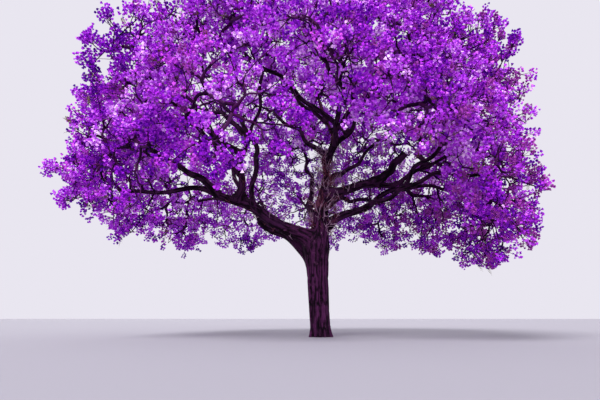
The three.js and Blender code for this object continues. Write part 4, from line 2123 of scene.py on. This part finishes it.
@dataclass(frozen=True)
class Studio:
    """A plain pale floor, soft light and the photograph's camera."""

    eye: tuple[float, float, float] = (-0.7, -19.0, 0.71)
    level: float = 90.0
    pitch: float = 14.1
    focal_pixels: float = 470.0
    image_width: int = 600
    sensor_width: float = 36.0
    farthest: float = 2000.0
    floor_reach: float = 400.0
    floor_level: float = -0.003
    floor_finish: PlainFinish = PlainFinish("floor", 0x9A97A0, 0.95)
    sky_colour: int = 0xE9E6F0
    sky_strength: float = 1.0
    lamps: tuple[tuple[str, float, float, tuple[float, float, float]], ...] = (
        ("key", 3.9, 28.0, (0.42, 0.78, -0.8)),
        ("front_fill", 2.3, 60.0, (-0.3, 0.95, -0.06)),
        ("back_fill", 1.6, 60.0, (0.2, -0.95, -0.12)),
    )

    def build(self) -> None:
        """Makes the floor, the light and the camera."""
        self._floor()
        self._light()
        self._camera()
        bpy.context.scene.view_settings.view_transform = "Standard"

    def _floor(self) -> None:
        """Lays the floor just under the ground."""
        ways = np.array([[-1.0, -1, 0], [1, -1, 0], [1, 1, 0], [-1, 1, 0]])
        shape = Shape()
        shape.add(self.floor_reach * ways + self.floor_level * UP, [np.arange(4)[None]])
        shape.build("floor", [self.floor_finish.material()], False)

    def _light(self) -> None:
        """Lights the scene from a pale sky, one broad lamp and two low fills."""
        world = bpy.data.worlds.new("sky")
        world.use_nodes = True
        sky = world.node_tree.nodes["Background"]
        sky.inputs["Color"].default_value = linear(self.sky_colour)
        sky.inputs["Strength"].default_value = self.sky_strength
        bpy.context.scene.world = world
        for name, strength, angle, way in self.lamps:
            lamp = bpy.data.lights.new(name, "SUN")
            lamp.energy = strength
            lamp.angle = math.radians(angle)
            link(name, lamp).rotation_euler = Vector(way).to_track_quat("-Z", "Y").to_euler()

    def _camera(self) -> None:
        """Stands the camera where the photograph was taken from."""
        lens = bpy.data.cameras.new("camera")
        lens.sensor_width = self.sensor_width
        lens.lens = self.focal_pixels / self.image_width * self.sensor_width
        lens.clip_end = self.farthest
        camera = link("camera", lens)
        camera.location = self.eye
        camera.rotation_euler = (math.radians(self.level + self.pitch), 0, 0)
        bpy.context.scene.camera = camera


def main() -> None:
    """Builds the tree and its studio, piece by piece."""
    logging.basicConfig(level=logging.INFO, format="%(message)s")
    Studio().build()
    skeleton = Skeleton()
    triangles = TrunkPiece(skeleton).build()
    primaries = [limb.name for limb in skeleton.primaries()]
    for k, limb in enumerate(skeleton.limbs.values()):
        node = limb.name if limb.name in ("leader", STUB[0]) else f"{limb.name}_bough"
        finish = LEADER_BARK if limb.name == "leader" else BOUGH_BARK
        on_trunk = limb.name in primaries
        seed = Seed.FEET + primaries.index(limb.name) if on_trunk else Seed.LIMBS + SEEDS_A_LIMB * k
        triangles += BoughPiece(skeleton, limb, finish, seed).build(node)
    form = CrownForm()
    tufts = Tufts(form, skeleton)
    twigs = Twigs(skeleton, tufts)
    panicles = Panicles(form, tufts, twigs)
    blossom = Blossom(panicles)
    wood = CrownWood(twigs, panicles)
    counts = (len(tufts.places), len(panicles.place), len(blossom.foot))
    LOG.info("%d tufts, %d panicles, %d flowers", *counts)
    names = [limb.name for limb in skeleton.boughs()]
    for region in Region:
        masses = {names.index(name) for name in region.value}
        triangles += blossom.build(region, masses)
        triangles += wood.build(region, masses)
    for extra in (YoungLeaves(panicles), Pods(panicles), WaterShoots(skeleton)):
        triangles += extra.build()
    LOG.info("%d triangles in all", triangles)


if __name__ == "__main__":
    main()
